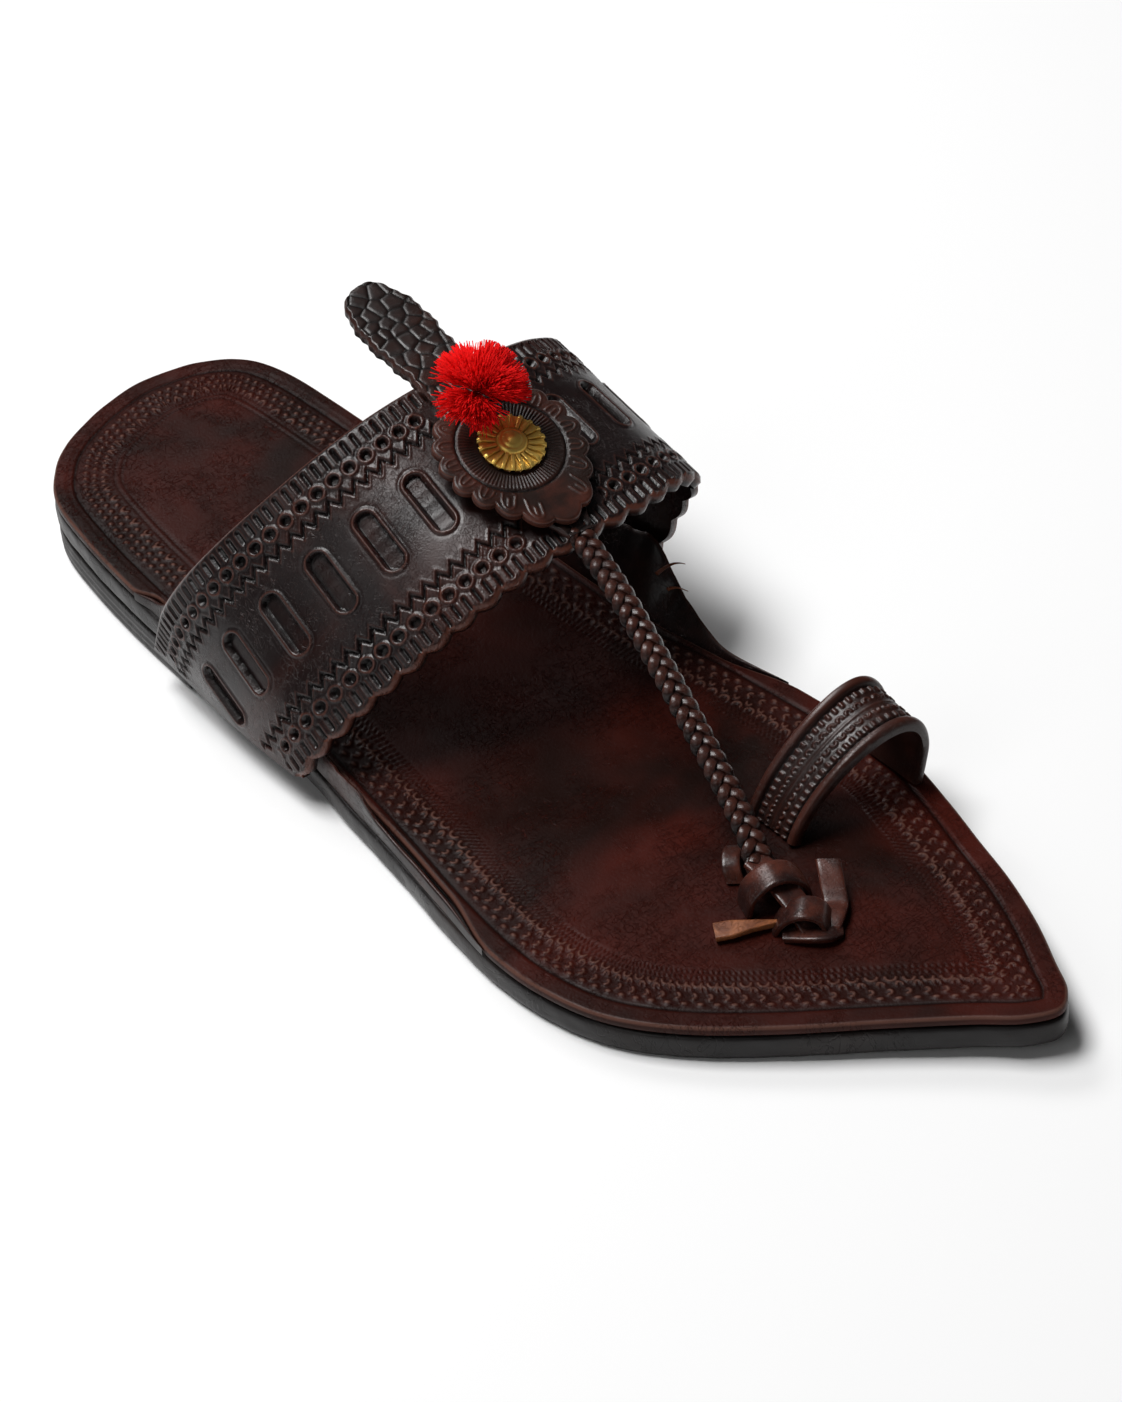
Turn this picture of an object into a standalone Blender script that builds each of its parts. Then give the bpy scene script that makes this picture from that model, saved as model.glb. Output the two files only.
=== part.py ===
# Kolhapuri chappal, the right shoe: flat leather sandal with a punched instep band,
# a leaf-ended centre strap that runs on as a braid, a toe loop and a knot.
# Metres, +Z up, +Y towards the toe, origin on the floor under the middle of the heel.

import math

import bmesh
import bpy
import numpy as np
from mathutils import Vector
from mathutils.geometry import delaunay_2d_cdt

# Driving dimensions
LENGTH = 0.2875
HALF_BALL = 0.050
INSTEP_REACH = 0.100
INSTEP_HEIGHT = 0.070
HEEL_BACK = 0.040
HEEL_BREAST = 0.043
HEEL_BLOCK = 0.0070
OUTSOLE = 0.0060
INSOLE = 0.0024
TOE_SPRING = 0.0030
WAIST_END = 0.108
SPRING_START = 0.192

# Leather thicknesses
BAND_WALL = 0.0028
PIT_DEPTH = 0.0013
EAR_WALL = 0.0018
ROSETTE_WALL = 0.0018

# Band ornament, measured on the flat leather
SLOT_PITCH = 0.0123
BAND_WIDTH = 0.050
SLOT_LENGTH = 0.0150
SLOT_HALF_WIDTH = 0.0022
SLOT_MIDDLE = 0.0240
HOLE_RADIUS = 0.00115
HOLE_PITCH = 0.0041
HOLE_INSET = 0.0070
SCALLOP_PITCH = 0.0064
SCALLOP_RISE = 0.0013

# How far apart, in rows, two places are taken to find a curve's direction
NEARBY = 0.05

# Clearances
LAYER_GAP = 0.0003
SEAT_GAP = 0.0003
EAR_INSET = 0.0009
EAR_MARGIN = 0.0029

# Sole edge, one row for each section from the heel's back to the toe's tip:
# along (share of LENGTH), lateral edge and medial edge (shares of HALF_BALL)
SOLE_EDGE = (
    (0.000, -0.134, -0.134),
    (0.006, 0.066, -0.350),
    (0.014, 0.202, -0.460),
    (0.028, 0.366, -0.570),
    (0.049, 0.506, -0.648),
    (0.084, 0.634, -0.694),
    (0.139, 0.698, -0.712),
    (0.216, 0.744, -0.726),
    (0.296, 0.764, -0.764),
    (0.383, 0.766, -0.824),
    (0.452, 0.774, -0.878),
    (0.508, 0.804, -0.920),
    (0.564, 0.842, -0.968),
    (0.630, 0.896, -1.012),
    (0.692, 0.924, -1.040),
    (0.741, 0.904, -1.044),
    (0.790, 0.820, -0.984),
    (0.835, 0.640, -0.912),
    (0.880, 0.376, -0.838),
    (0.925, 0.074, -0.736),
    (0.963, -0.166, -0.624),
    (0.988, -0.304, -0.546),
    (1.000, -0.440, -0.440),
)

# Instep band, one row for each slot pitch from the lateral foot to the medial foot.
# Rear edge, then front edge: across (of HALF_BALL), along (of INSTEP_REACH), height (of INSTEP_HEIGHT)
BAND_FIRST = -2
BAND_EDGES = (
    (0.790, 0.335, 0.086, 0.812, 0.735, -0.271),
    (0.808, 0.385, 0.229, 0.822, 0.805, -0.117),
    (0.818, 0.444, 0.379, 0.828, 0.872, 0.040),
    (0.752, 0.503, 0.521, 0.786, 0.933, 0.194),
    (0.612, 0.555, 0.647, 0.634, 0.986, 0.331),
    (0.426, 0.597, 0.756, 0.440, 1.031, 0.449),
    (0.218, 0.629, 0.846, 0.230, 1.068, 0.550),
    (-0.006, 0.651, 0.909, 0.004, 1.095, 0.630),
    (-0.240, 0.660, 0.936, -0.236, 1.110, 0.679),
    (-0.474, 0.657, 0.931, -0.492, 1.114, 0.690),
    (-0.704, 0.643, 0.899, -0.748, 1.104, 0.677),
    (-0.922, 0.617, 0.841, -0.984, 1.065, 0.634),
    (-1.090, 0.582, 0.743, -1.154, 1.010, 0.519),
    (-1.134, 0.540, 0.586, -1.126, 0.965, 0.379),
    (-1.066, 0.500, 0.424, -1.020, 0.930, 0.214),
    (-0.950, 0.460, 0.286, -0.918, 0.900, 0.071),
    (-0.806, 0.425, 0.164, -0.800, 0.870, -0.070),
    (-0.660, 0.390, 0.050, -0.680, 0.840, -0.200),
)

# Where the band is cut off along the sole, in slot pitches, at its rear and its front edge
LATERAL_CUT = (-1.62, 0.42)
MEDIAL_CUT = (14.10, 12.70)

# Centre strap from the leaf's tip to the toe: across (of HALF_BALL), along (of INSTEP_REACH),
# height (of INSTEP_HEIGHT), half width and half thickness (of STRAP_HALF), squareness
STRAP_HALF = 0.0078
BRAID_FIRST_ROW = 10
BRAID_LAST_ROW = 16
STRAP_ROWS = (
    (-0.366, 0.397, 1.070, 0.20, 0.10, 0.8),
    (-0.370, 0.408, 1.064, 0.54, 0.14, 0.6),
    (-0.380, 0.446, 1.046, 0.84, 0.15, 0.5),
    (-0.390, 0.510, 1.018, 1.00, 0.16, 0.5),
    (-0.390, 0.590, 0.988, 0.95, 0.16, 0.5),
    (-0.388, 0.660, 0.968, 0.90, 0.15, 0.5),
    (-0.388, 0.740, 0.924, 0.86, 0.14, 0.5),
    (-0.388, 0.860, 0.858, 0.82, 0.13, 0.5),
    (-0.388, 0.980, 0.792, 0.78, 0.13, 0.5),
    (-0.388, 1.060, 0.743, 0.60, 0.13, 0.6),
    (-0.384, 1.110, 0.708, 0.40, 0.19, 0.9),
    (-0.370, 1.160, 0.684, 0.37, 0.24, 0.9),
    (-0.340, 1.250, 0.640, 0.37, 0.25, 0.9),
    (-0.292, 1.380, 0.552, 0.37, 0.25, 0.9),
    (-0.236, 1.545, 0.412, 0.37, 0.25, 0.9),
    (-0.160, 1.720, 0.276, 0.37, 0.24, 0.9),
    (-0.118, 1.790, 0.208, 0.40, 0.18, 0.7),
    (-0.112, 1.815, 0.184, 0.36, 0.11, 0.5),
    (-0.108, 1.842, 0.166, 0.26, 0.08, 0.5),
)
CHEVRON_PITCH = 0.0036
CHEVRON_RELIEF = 0.20
BRAID_STEPS = 3

# Ears, the side leathers between the soles: along (share of INSTEP_REACH), rise above the
# outsole (share of EAR_HEIGHT) and outward lean at the top (share of EAR_HEIGHT)
EAR_HEIGHT = 0.014
LATERAL_EAR = (
    (0.310, 0.18, 0.00),
    (0.360, 0.40, 0.00),
    (0.430, 0.68, 0.00),
    (0.560, 0.84, 0.00),
    (0.740, 0.80, 0.00),
    (0.860, 0.50, 0.00),
    (0.920, 0.38, 0.00),
    (0.970, 0.48, 0.05),
    (1.020, 0.57, 0.09),
    (1.080, 0.54, 0.07),
    (1.140, 0.34, 0.06),
    (1.220, 0.20, 0.02),
    (1.300, 0.18, 0.00),
    (1.370, 0.17, 0.00),
)
MEDIAL_EAR = (
    (0.310, 0.18, 0.00),
    (0.360, 0.34, 0.06),
    (0.430, 0.56, 0.24),
    (0.560, 0.80, 0.44),
    (0.760, 0.92, 0.50),
    (0.880, 1.02, 0.52),
    (0.950, 1.07, 0.52),
    (1.005, 0.64, 0.48),
    (1.040, 0.45, 0.40),
    (1.080, 0.35, 0.31),
    (1.140, 0.22, 0.18),
    (1.190, 0.18, 0.04),
)

# Toe loop, from its lateral to its medial foot: across (of HALF_BALL), rise above the
# insole (of LOOP_HEIGHT), and how far its front edge tips down (of LOOP_HEIGHT)
LOOP_HEIGHT = 0.0170
LOOP_HALF_WIDTH = 0.0073
LOOP_WALL = 0.0024
LOOP_ALONG = 0.1697
LOOP_SKEW = 0.10
LOOP_ROWS = (
    (-0.352, 0.020, 0.00),
    (-0.384, 0.210, 0.00),
    (-0.454, 0.480, 0.02),
    (-0.556, 0.740, 0.04),
    (-0.676, 0.960, 0.07),
    (-0.796, 1.090, 0.10),
    (-0.896, 1.090, 0.11),
    (-0.966, 0.930, 0.09),
    (-0.992, 0.620, 0.05),
    (-0.976, 0.300, 0.02),
    (-0.952, 0.020, 0.00),
)

# Rosette and stud on the middle of the band
ROSETTE_SIDE = 0.0006
STRAP_PROUD = 0.00155
ROSETTE_RADIUS = 0.0160
ROSETTE_TIP = 0.0210
ROSETTE_LOBES = 18
STUD_RADIUS = 0.0080
STUD_RIBS = 20

# Pompom behind the stud
POMPOM_RADIUS = 0.0114
POMPOM_CORE = 0.0076
POMPOM_RIGHT = 0.0012
POMPOM_AHEAD = -0.0109
POMPOM_LIFT = 0.0072
STUD_HEIGHT = 0.0050

# Knot on the insole where the braid ends. Each strip has rows from end to end:
# across (of HALF_BALL), along (of INSTEP_REACH), rise above the insole (of KNOT_HEIGHT)
KNOT_HEIGHT = 0.0070
KNOT_WALL = 0.0018
KNOT_STRIPS = {
    "knot_wrap": (0.0033, (
        (0.034, 1.832, 0.000),
        (0.012, 1.838, 0.600),
        (-0.056, 1.850, 0.960),
        (-0.128, 1.862, 0.940),
        (-0.186, 1.872, 0.580),
        (-0.206, 1.876, 0.000),
    )),
    "knot_turn": (0.0032, (
        (0.006, 1.912, 0.000),
        (-0.018, 1.928, 0.460),
        (-0.062, 1.954, 0.740),
        (-0.110, 1.978, 0.600),
        (-0.138, 1.992, 0.000),
    )),
    "knot_eye": (0.0019, (
        (-0.036, 1.766, 0.000),
        (-0.044, 1.748, 0.360),
        (-0.084, 1.726, 0.480),
        (-0.130, 1.710, 0.360),
        (-0.148, 1.704, 0.000),
    )),
}
# Loose strip ends that lie in front of and beside the knot, in the same columns
KNOT_ENDS = {
    "knot_end_lateral": (0.0022, (
        (0.222, 1.853, 0.140),
        (0.180, 1.866, 0.150),
        (0.124, 1.882, 0.160),
        (0.080, 1.894, 0.140),
    )),
    "knot_end_medial": (0.0027, (
        (-0.222, 1.958, 0.200),
        (-0.250, 1.936, 0.360),
        (-0.282, 1.910, 0.620),
        (-0.308, 1.888, 0.800),
    )),
}


def clear_scene():
    for item in list(bpy.data.objects):
        bpy.data.objects.remove(item, do_unlink=True)


def leather(name, colour, roughness, metallic=0.0):
    material = bpy.data.materials.new(name)
    material.use_nodes = True
    shader = material.node_tree.nodes["Principled BSDF"]
    shader.inputs["Base Color"].default_value = (*colour, 1.0)
    shader.inputs["Roughness"].default_value = roughness
    shader.inputs["Metallic"].default_value = metallic
    return material


def add_object(name, points, faces, material):
    """One closed mesh as an object, its faces turned outwards and its round parts smooth."""
    mesh = bpy.data.meshes.new(name)
    mesh.from_pydata([tuple(map(float, point)) for point in points], [], faces)
    body = bmesh.new()
    body.from_mesh(mesh)
    bmesh.ops.recalc_face_normals(body, faces=body.faces)
    if body.calc_volume(signed=True) < 0:
        bmesh.ops.reverse_faces(body, faces=body.faces)
    bmesh.ops.triangulate(body, faces=body.faces)
    body.to_mesh(mesh)
    body.free()
    mesh.materials.append(material)
    mesh.shade_smooth()
    mesh.set_sharp_from_angle(angle=math.radians(35))
    made = bpy.data.objects.new(name, mesh)
    bpy.context.collection.objects.link(made)
    return made


def smooth_row(rows, place, closed=False):
    """Catmull-Rom value of a table at a place counted in rows."""
    count = len(rows)
    last = count if closed else count - 1
    at = min(max(place, 0.0), last - 1e-9)
    step = int(at)
    share = at - step
    picked = []
    for shift in (-1, 0, 1, 2):
        index = step + shift
        if closed:
            picked.append(rows[index % count])
        elif index < 0:
            picked.append(2 * rows[0] - rows[1])
        elif index >= count:
            picked.append(2 * rows[-1] - rows[-2])
        else:
            picked.append(rows[index])
    before, start, end, after = picked
    slope_in = (end - before) / 2
    slope_out = (after - start) / 2
    square = share * share
    cube = square * share
    return (
        (2 * cube - 3 * square + 1) * start
        + (cube - 2 * square + share) * slope_in
        + (3 * square - 2 * cube) * end
        + (cube - square) * slope_out
    )


def row_slope(rows, place):
    """The way a table's curve runs at a place, as a difference between nearby places."""
    last = len(rows) - 1.0
    return smooth_row(rows, min(place + NEARBY, last)) - smooth_row(rows, max(place - NEARBY, 0.0))


def ease(value, low, high):
    share = np.clip((value - low) / (high - low), 0.0, 1.0)
    return share * share * (3 - 2 * share)


# Sole sections: heights along the shoe

def underside(along):
    """Lower face of the outsole: on the heel block, down the waist, flat, then the toe spring."""
    raised = (HEEL_BLOCK + LAYER_GAP) * (1 - ease(along, HEEL_BREAST + 0.002, WAIST_END))
    tip = LENGTH - HEEL_BACK
    spring = np.clip((along - SPRING_START) / (tip - SPRING_START), 0.0, 1.0) ** 2
    return raised + TOE_SPRING * spring


def outsole_top(along):
    return underside(along) + OUTSOLE


def insole_top(along):
    return outsole_top(along) + LAYER_GAP + INSOLE


# The sole's edge as a closed curve, and the rings that follow it at an inset

EDGE_STEPS = 16
SOLE_STATIONS = 35
EAR_LEVELS = np.array([
    LATERAL_EAR[0][0] * INSTEP_REACH - 0.0040,
    LATERAL_EAR[0][0] * INSTEP_REACH - 0.0012,
    MEDIAL_EAR[-1][0] * INSTEP_REACH + 0.0012,
    MEDIAL_EAR[-1][0] * INSTEP_REACH + 0.0050,
    LATERAL_EAR[-1][0] * INSTEP_REACH + 0.0012,
    LATERAL_EAR[-1][0] * INSTEP_REACH + 0.0050,
])


def edge_curve():
    lateral = [(row[1] * HALF_BALL, row[0] * LENGTH - HEEL_BACK) for row in SOLE_EDGE]
    medial = [(row[2] * HALF_BALL, row[0] * LENGTH - HEEL_BACK) for row in SOLE_EDGE]
    rows = np.array(lateral + medial[-2:0:-1])
    count = len(rows) * EDGE_STEPS
    return np.array([smooth_row(rows, index / EDGE_STEPS, True) for index in range(count)])


EDGE = edge_curve()
EDGE_TIP = (len(SOLE_EDGE) - 1) * EDGE_STEPS
EDGE_RUN = np.roll(EDGE, -1, axis=0) - np.roll(EDGE, 1, axis=0)
EDGE_INWARD = np.stack([-EDGE_RUN[:, 1], EDGE_RUN[:, 0]], axis=1)
EDGE_INWARD /= np.linalg.norm(EDGE_INWARD, axis=1)[:, None]


def side_runs(inset):
    """Both sides of the edge moved inwards, each as rising rows of (along, across)."""
    depth = np.array([inset(point[1], index <= EDGE_TIP) for index, point in enumerate(EDGE)])
    moved = EDGE + EDGE_INWARD * depth[:, None]
    lateral = moved[: EDGE_TIP + 1]
    medial = np.vstack([moved[:1], moved[:EDGE_TIP - 1:-1]])
    runs = []
    for side in (lateral, medial):
        order = np.maximum.accumulate(side[:, 1] + np.arange(len(side)) * 1e-9)
        runs.append((order, side[:, 0]))
    return runs


def sole_ring(inset, height, first=None, last=None):
    """One ring of points at an inset from the sole's edge, from the heel round the toe."""
    runs = side_runs(inset)
    start = max(runs[0][0][0], runs[1][0][0]) if first is None else first
    levels = np.linspace(start, min(runs[0][0][-1], runs[1][0][-1]), 1500)
    width = np.interp(levels, *runs[0]) - np.interp(levels, *runs[1])
    narrow = np.where((width < 1e-5) & (levels > 0.1))[0]
    tip = levels[narrow[0]] if len(narrow) else levels[-1]
    share = np.linspace(0.0, 1.0, SOLE_STATIONS + 1)
    spread = 0.35 * share + 0.65 * (1 - np.cos(np.pi * share)) / 2
    along = start + ((tip if last is None else last) - start) * spread
    if last is None:
        along = np.sort(np.concatenate([along, EAR_LEVELS]))
    lateral = np.interp(along, *runs[0])
    medial = np.interp(along, *runs[1])
    if first is None:
        lateral[0] = medial[0] = (lateral[0] + medial[0]) / 2
    if last is None:
        lateral[-1] = medial[-1] = (lateral[-1] + medial[-1]) / 2
    up = height(along)
    sides = (np.stack([lateral, along, up], 1), np.stack([medial, along, up], 1))
    return sides


def sole_layer(name, levels, material, last=None):
    """A closed layer from a list of (inset, height) levels, from its bottom face to its top."""
    pairs = [sole_ring(inset, height, None, last) for inset, height in levels]
    points = []
    index = []
    for lateral, medial in pairs:
        base = len(points)
        points.extend(lateral)
        left = list(range(base, base + len(lateral)))
        right = [left[0]]
        stop = len(medial) if last is not None else len(medial) - 1
        for place in range(1, stop):
            right.append(len(points))
            points.append(medial[place])
        if last is None:
            right.append(left[-1])
        index.append((left, right))
    faces = []
    for (left, right), (next_left, next_right) in zip(index, index[1:]):
        for one, two in ((left, next_left), (right, next_right)):
            for place in range(len(one) - 1):
                faces.append((one[place], one[place + 1], two[place + 1], two[place]))
        if last is not None:
            faces.append((left[-1], right[-1], next_right[-1], next_left[-1]))
    for left, right in (index[0], index[-1]):
        for place in range(len(left) - 1):
            ring = (left[place], left[place + 1], right[place + 1], right[place])
            faces.append(tuple(dict.fromkeys(ring)))
    return add_object(name, points, faces, material)


def plain(depth):
    return lambda along, lateral: depth


def beside_ears(depth):
    """An inset that makes room on the outsole's margin for the two ears."""
    def inset(along, lateral):
        end = LATERAL_EAR[-1][0] if lateral else MEDIAL_EAR[-1][0]
        start = LATERAL_EAR[0][0] * INSTEP_REACH
        room = ease(along, start - 0.0038, start - 0.0014)
        room *= 1 - ease(along, end * INSTEP_REACH + 0.0014, end * INSTEP_REACH + 0.0048)
        return depth + EAR_MARGIN * room
    return inset


def over(base, rise):
    return lambda along: base(along) + rise


def make_soles(sole_leather, heel_leather, insole_leather):
    sole_layer("outsole", (
        (plain(0.0014), underside),
        (plain(0.0004), over(underside, 0.0010)),
        (plain(0.0), over(underside, 0.0040)),
        (plain(0.0002), over(outsole_top, -0.0008)),
        (plain(0.0008), outsole_top),
    ), sole_leather)
    sole_layer("heel", (
        (plain(0.0010), lambda along: 0 * along),
        (plain(0.0004), lambda along: 0 * along + 0.0008),
        (plain(0.0002), lambda along: 0 * along + HEEL_BLOCK - 0.0006),
        (plain(0.0008), lambda along: 0 * along + HEEL_BLOCK),
    ), heel_leather, HEEL_BREAST)
    base = over(outsole_top, LAYER_GAP)
    sole_layer("insole", (
        (beside_ears(0.0009), base),
        (beside_ears(0.0003), over(base, 0.0006)),
        (beside_ears(0.0003), over(insole_top, -0.0008)),
        (beside_ears(0.0010), insole_top),
        (plain(0.0045), insole_top),
        (plain(0.0050), over(insole_top, -0.0005)),
        (plain(0.0055), insole_top),
        (plain(0.0142), insole_top),
        (plain(0.0148), over(insole_top, -0.0005)),
        (plain(0.0154), insole_top),
    ), insole_leather)


# The ears stand on the outsole's margin, just outside the insole

def make_ear(name, rows, lateral, material):
    table = np.array(rows)
    points = []
    steps = 2
    count = (len(rows) - 1) * steps + 1
    side = 0 if lateral else 1
    outward = 1 if lateral else -1
    outer = side_runs(plain(EAR_INSET))[side]
    inner = side_runs(plain(EAR_INSET + EAR_WALL))[side]
    for number in range(count):
        row = smooth_row(table, number / steps)
        along = row[0] * INSTEP_REACH
        foot = float(outsole_top(along)) + LAYER_GAP
        rise = row[1] * EAR_HEIGHT
        lean = outward * row[2] * EAR_HEIGHT
        far = float(np.interp(along, *outer))
        near = float(np.interp(along, *inner))
        thin = (far - near) * 0.15
        points.append((near, along, foot))
        points.append((far, along, foot))
        points.append((far + 0.45 * lean, along, foot + 0.5 * rise))
        points.append((far + lean, along, foot + rise - 0.0005))
        points.append((far + lean - 2 * thin, along, foot + rise))
        points.append((near + lean + 2 * thin, along, foot + rise))
        points.append((near + lean, along, foot + rise - 0.0005))
        points.append((near + 0.45 * lean, along, foot + 0.5 * rise))
    add_object(name, points, tube_faces(count, 8), material)


def tube_faces(count, around):
    """Faces of a tube of rings, with both ends closed."""
    faces = []
    for ring in range(count - 1):
        for corner in range(around):
            after = (corner + 1) % around
            base = ring * around
            faces.append((base + corner, base + after, base + around + after, base + around + corner))
    faces.append(tuple(range(around)))
    faces.append(tuple(range((count - 1) * around, count * around)))
    return faces


# The band: a flat punched plate, then bent over the instep

BAND_TABLE = np.array(BAND_EDGES)
BAND_SCALE = np.array([HALF_BALL, INSTEP_REACH, INSTEP_HEIGHT] * 2)
STRAP_PITCH = 6.6


def band_middle(pitch, share):
    row = smooth_row(BAND_TABLE, pitch - BAND_FIRST) * BAND_SCALE
    return row[:3] * (1 - share) + row[3:] * share


def band_point(run, width, lift):
    """A point of the flat band, at run along it and width from its rear edge, once bent."""
    pitch = run / SLOT_PITCH
    share = width / BAND_WIDTH
    step = 0.02
    along_band = band_middle(pitch + step, share) - band_middle(pitch - step, share)
    across_band = band_middle(pitch, share + step) - band_middle(pitch, share - step)
    normal = np.cross(across_band, along_band)
    normal /= np.linalg.norm(normal)
    return band_middle(pitch, share) + normal * lift


def scallop(run):
    return SCALLOP_RISE * (abs(math.sin(math.pi * run / SCALLOP_PITCH)) - 0.6)


def band_outline():
    """Corner by corner: rear edge, medial end, scalloped front edge, lateral end."""
    lateral_rear, lateral_front = (cut * SLOT_PITCH for cut in LATERAL_CUT)
    medial_rear, medial_front = (cut * SLOT_PITCH for cut in MEDIAL_CUT)
    points = [(run, 0.0) for run in np.linspace(lateral_rear, medial_rear, 46)[:-1]]
    for share in np.linspace(0.0, 1.0, 9)[:-1]:
        points.append((medial_rear + (medial_front - medial_rear) * share, BAND_WIDTH * share))
    bumps = round((medial_front - lateral_front) / SCALLOP_PITCH)
    steps = 3 * bumps
    for number in range(steps):
        share = number / steps
        run = medial_front + (lateral_front - medial_front) * share
        points.append((run, BAND_WIDTH + scallop(bumps * SCALLOP_PITCH * share)))
    for share in np.linspace(1.0, 0.0, 9)[:-1]:
        points.append((lateral_rear + (lateral_front - lateral_rear) * share, BAND_WIDTH * share))
    return points


def end_runs(width):
    """Where the two cut ends lie at a given width."""
    share = width / BAND_WIDTH
    low = LATERAL_CUT[0] + (LATERAL_CUT[1] - LATERAL_CUT[0]) * share
    high = MEDIAL_CUT[0] + (MEDIAL_CUT[1] - MEDIAL_CUT[0]) * share
    return low * SLOT_PITCH, high * SLOT_PITCH


def free_of_ends(run, width, margin):
    low, high = end_runs(width)
    return low + margin < run < high - margin


def band_pits():
    """Outlines of the slots and round holes, clear of the centre strap and the ends."""
    pits = []
    strap = STRAP_PITCH * SLOT_PITCH
    for number in range(-1, 14):
        run = number * SLOT_PITCH
        if abs(run - strap) < 0.0105 or not free_of_ends(run, SLOT_MIDDLE, 0.006):
            continue
        loop = []
        straight = SLOT_LENGTH / 2 - SLOT_HALF_WIDTH
        for end, start in ((1, 0.0), (-1, math.pi)):
            for turn in np.linspace(start, start + math.pi, 6):
                loop.append((run + SLOT_HALF_WIDTH * math.cos(turn),
                             SLOT_MIDDLE + end * straight + SLOT_HALF_WIDTH * math.sin(turn)))
        pits.append(loop)
    for width in (HOLE_INSET, BAND_WIDTH - HOLE_INSET):
        for number in range(-6, 44):
            run = number * HOLE_PITCH
            if abs(run - strap) < 0.0095 or not free_of_ends(run, width, 0.0035):
                continue
            turns = [math.pi * (2 * side + 1) / 6 for side in range(6)]
            pits.append([(run + HOLE_RADIUS * math.cos(turn),
                          width + HOLE_RADIUS * math.sin(turn)) for turn in turns])
    return pits


def grid_points(pits, clear):
    """Inner points that let the flat plate bend smoothly."""
    centres = [np.mean(loop, axis=0) for loop in pits]
    reach = [max(abs(point[1] - centre[1]) for point in loop) for loop, centre in zip(pits, centres)]
    points = []
    for width in (0.0022, 0.0125, 0.0240, 0.0365, 0.0475):
        for number in range(-5, 42):
            run = number * SLOT_PITCH / 3
            if not free_of_ends(run, width, 0.002):
                continue
            blocked = clear and any(
                abs(run - centre[0]) < 0.0034 and abs(width - centre[1]) < far + 0.0008
                for centre, far in zip(centres, reach)
            )
            if not blocked:
                points.append((run, width))
    return points


def fill_flat(outline, loops, extra):
    """Triangles of a flat outline that keep the given loops as edges."""
    points = list(outline)
    edges = [(place, (place + 1) % len(outline)) for place in range(len(outline))]
    for loop in loops:
        base = len(points)
        points.extend(loop)
        edges.extend((base + place, base + (place + 1) % len(loop)) for place in range(len(loop)))
    points.extend(extra)
    scale = 1000.0
    flat = [Vector((run * scale, width * scale)) for run, width in points]
    filled = delaunay_2d_cdt(flat, edges, [], 1, 1e-5)
    assert len(filled[0]) == len(points)
    return points, [tuple(face) for face in filled[2]]


def make_band():
    outline = band_outline()
    pits = band_pits()
    upper_points, upper_faces = fill_flat(outline, pits, grid_points(pits, True))
    lower_points, lower_faces = fill_flat(outline, [], grid_points(pits, False))
    half = BAND_WALL / 2
    points = [band_point(run, width, half) for run, width in upper_points]
    pit_of = {}
    place = len(outline)
    for number, loop in enumerate(pits):
        for corner in range(len(loop)):
            pit_of[place + corner] = number
        place += len(loop)
    floor = {}
    for index in pit_of:
        floor[index] = len(points)
        points.append(band_point(*upper_points[index], half - PIT_DEPTH))
    faces = []
    for face in upper_faces:
        owners = {pit_of.get(index) for index in face}
        if len(owners) == 1 and None not in owners:
            faces.append(tuple(floor[index] for index in face))
        else:
            faces.append(face)
    place = len(outline)
    for loop in pits:
        for corner in range(len(loop)):
            one = place + corner
            two = place + (corner + 1) % len(loop)
            faces.append((one, two, floor[two], floor[one]))
        place += len(loop)
    base = len(points)
    points.extend(band_point(run, width, -half) for run, width in lower_points)
    faces.extend(tuple(base + index for index in reversed(face)) for face in lower_faces)
    for one in range(len(outline)):
        two = (one + 1) % len(outline)
        faces.append((one, base + one, base + two, two))
    return points, faces


# The centre strap: leaf, flat stretch under the rosette, then the braid

STRAP_TABLE = np.array(STRAP_ROWS)
STRAP_SCALE = np.array([HALF_BALL, INSTEP_REACH, INSTEP_HEIGHT])


def strap_spot(place):
    return smooth_row(STRAP_TABLE, place)[:3] * STRAP_SCALE


def strap_places():
    flat = [number / 2 for number in range(2 * BRAID_FIRST_ROW)]
    fine = np.linspace(BRAID_FIRST_ROW, BRAID_LAST_ROW, 400)
    spots = np.array([strap_spot(place) for place in fine])
    run = np.concatenate([[0.0], np.cumsum(np.linalg.norm(np.diff(spots, axis=0), axis=1))])
    count = round(run[-1] / CHEVRON_PITCH) * BRAID_STEPS
    braid = [float(np.interp(run[-1] * step / count, run, fine)) for step in range(count + 1)]
    tab = [BRAID_LAST_ROW + step / 2 for step in range(1, 2 * (len(STRAP_ROWS) - BRAID_LAST_ROW) - 1)]
    return flat + braid + tab, len(flat), len(braid)


def make_strap():
    places, braid_start, braid_count = strap_places()
    around = 8
    points = []
    for number, place in enumerate(places):
        spot = strap_spot(place)
        half_width, half_height, square = smooth_row(STRAP_TABLE, place)[3:]
        forward = row_slope(STRAP_TABLE, place)[:3] * STRAP_SCALE
        forward /= np.linalg.norm(forward)
        across = np.array([1.0, 0.0, 0.0]) - forward * forward[0]
        across /= np.linalg.norm(across)
        up = np.cross(across, forward)
        chevrons = (number - braid_start) / BRAID_STEPS
        for corner in range(around):
            turn = 2 * math.pi * corner / around
            side = math.copysign(abs(math.cos(turn)) ** square, math.cos(turn))
            rise = math.copysign(abs(math.sin(turn)) ** square, math.sin(turn))
            swell = 1.0
            if 0 <= number - braid_start < braid_count:
                swell += CHEVRON_RELIEF * math.cos(2 * math.pi * (chevrons + abs(side) * 0.5))
            point = spot + across * side * half_width * STRAP_HALF * (0.5 + 0.5 * swell)
            points.append(point + up * rise * half_height * STRAP_HALF * swell)
    return points, tube_faces(len(places), around)


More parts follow.
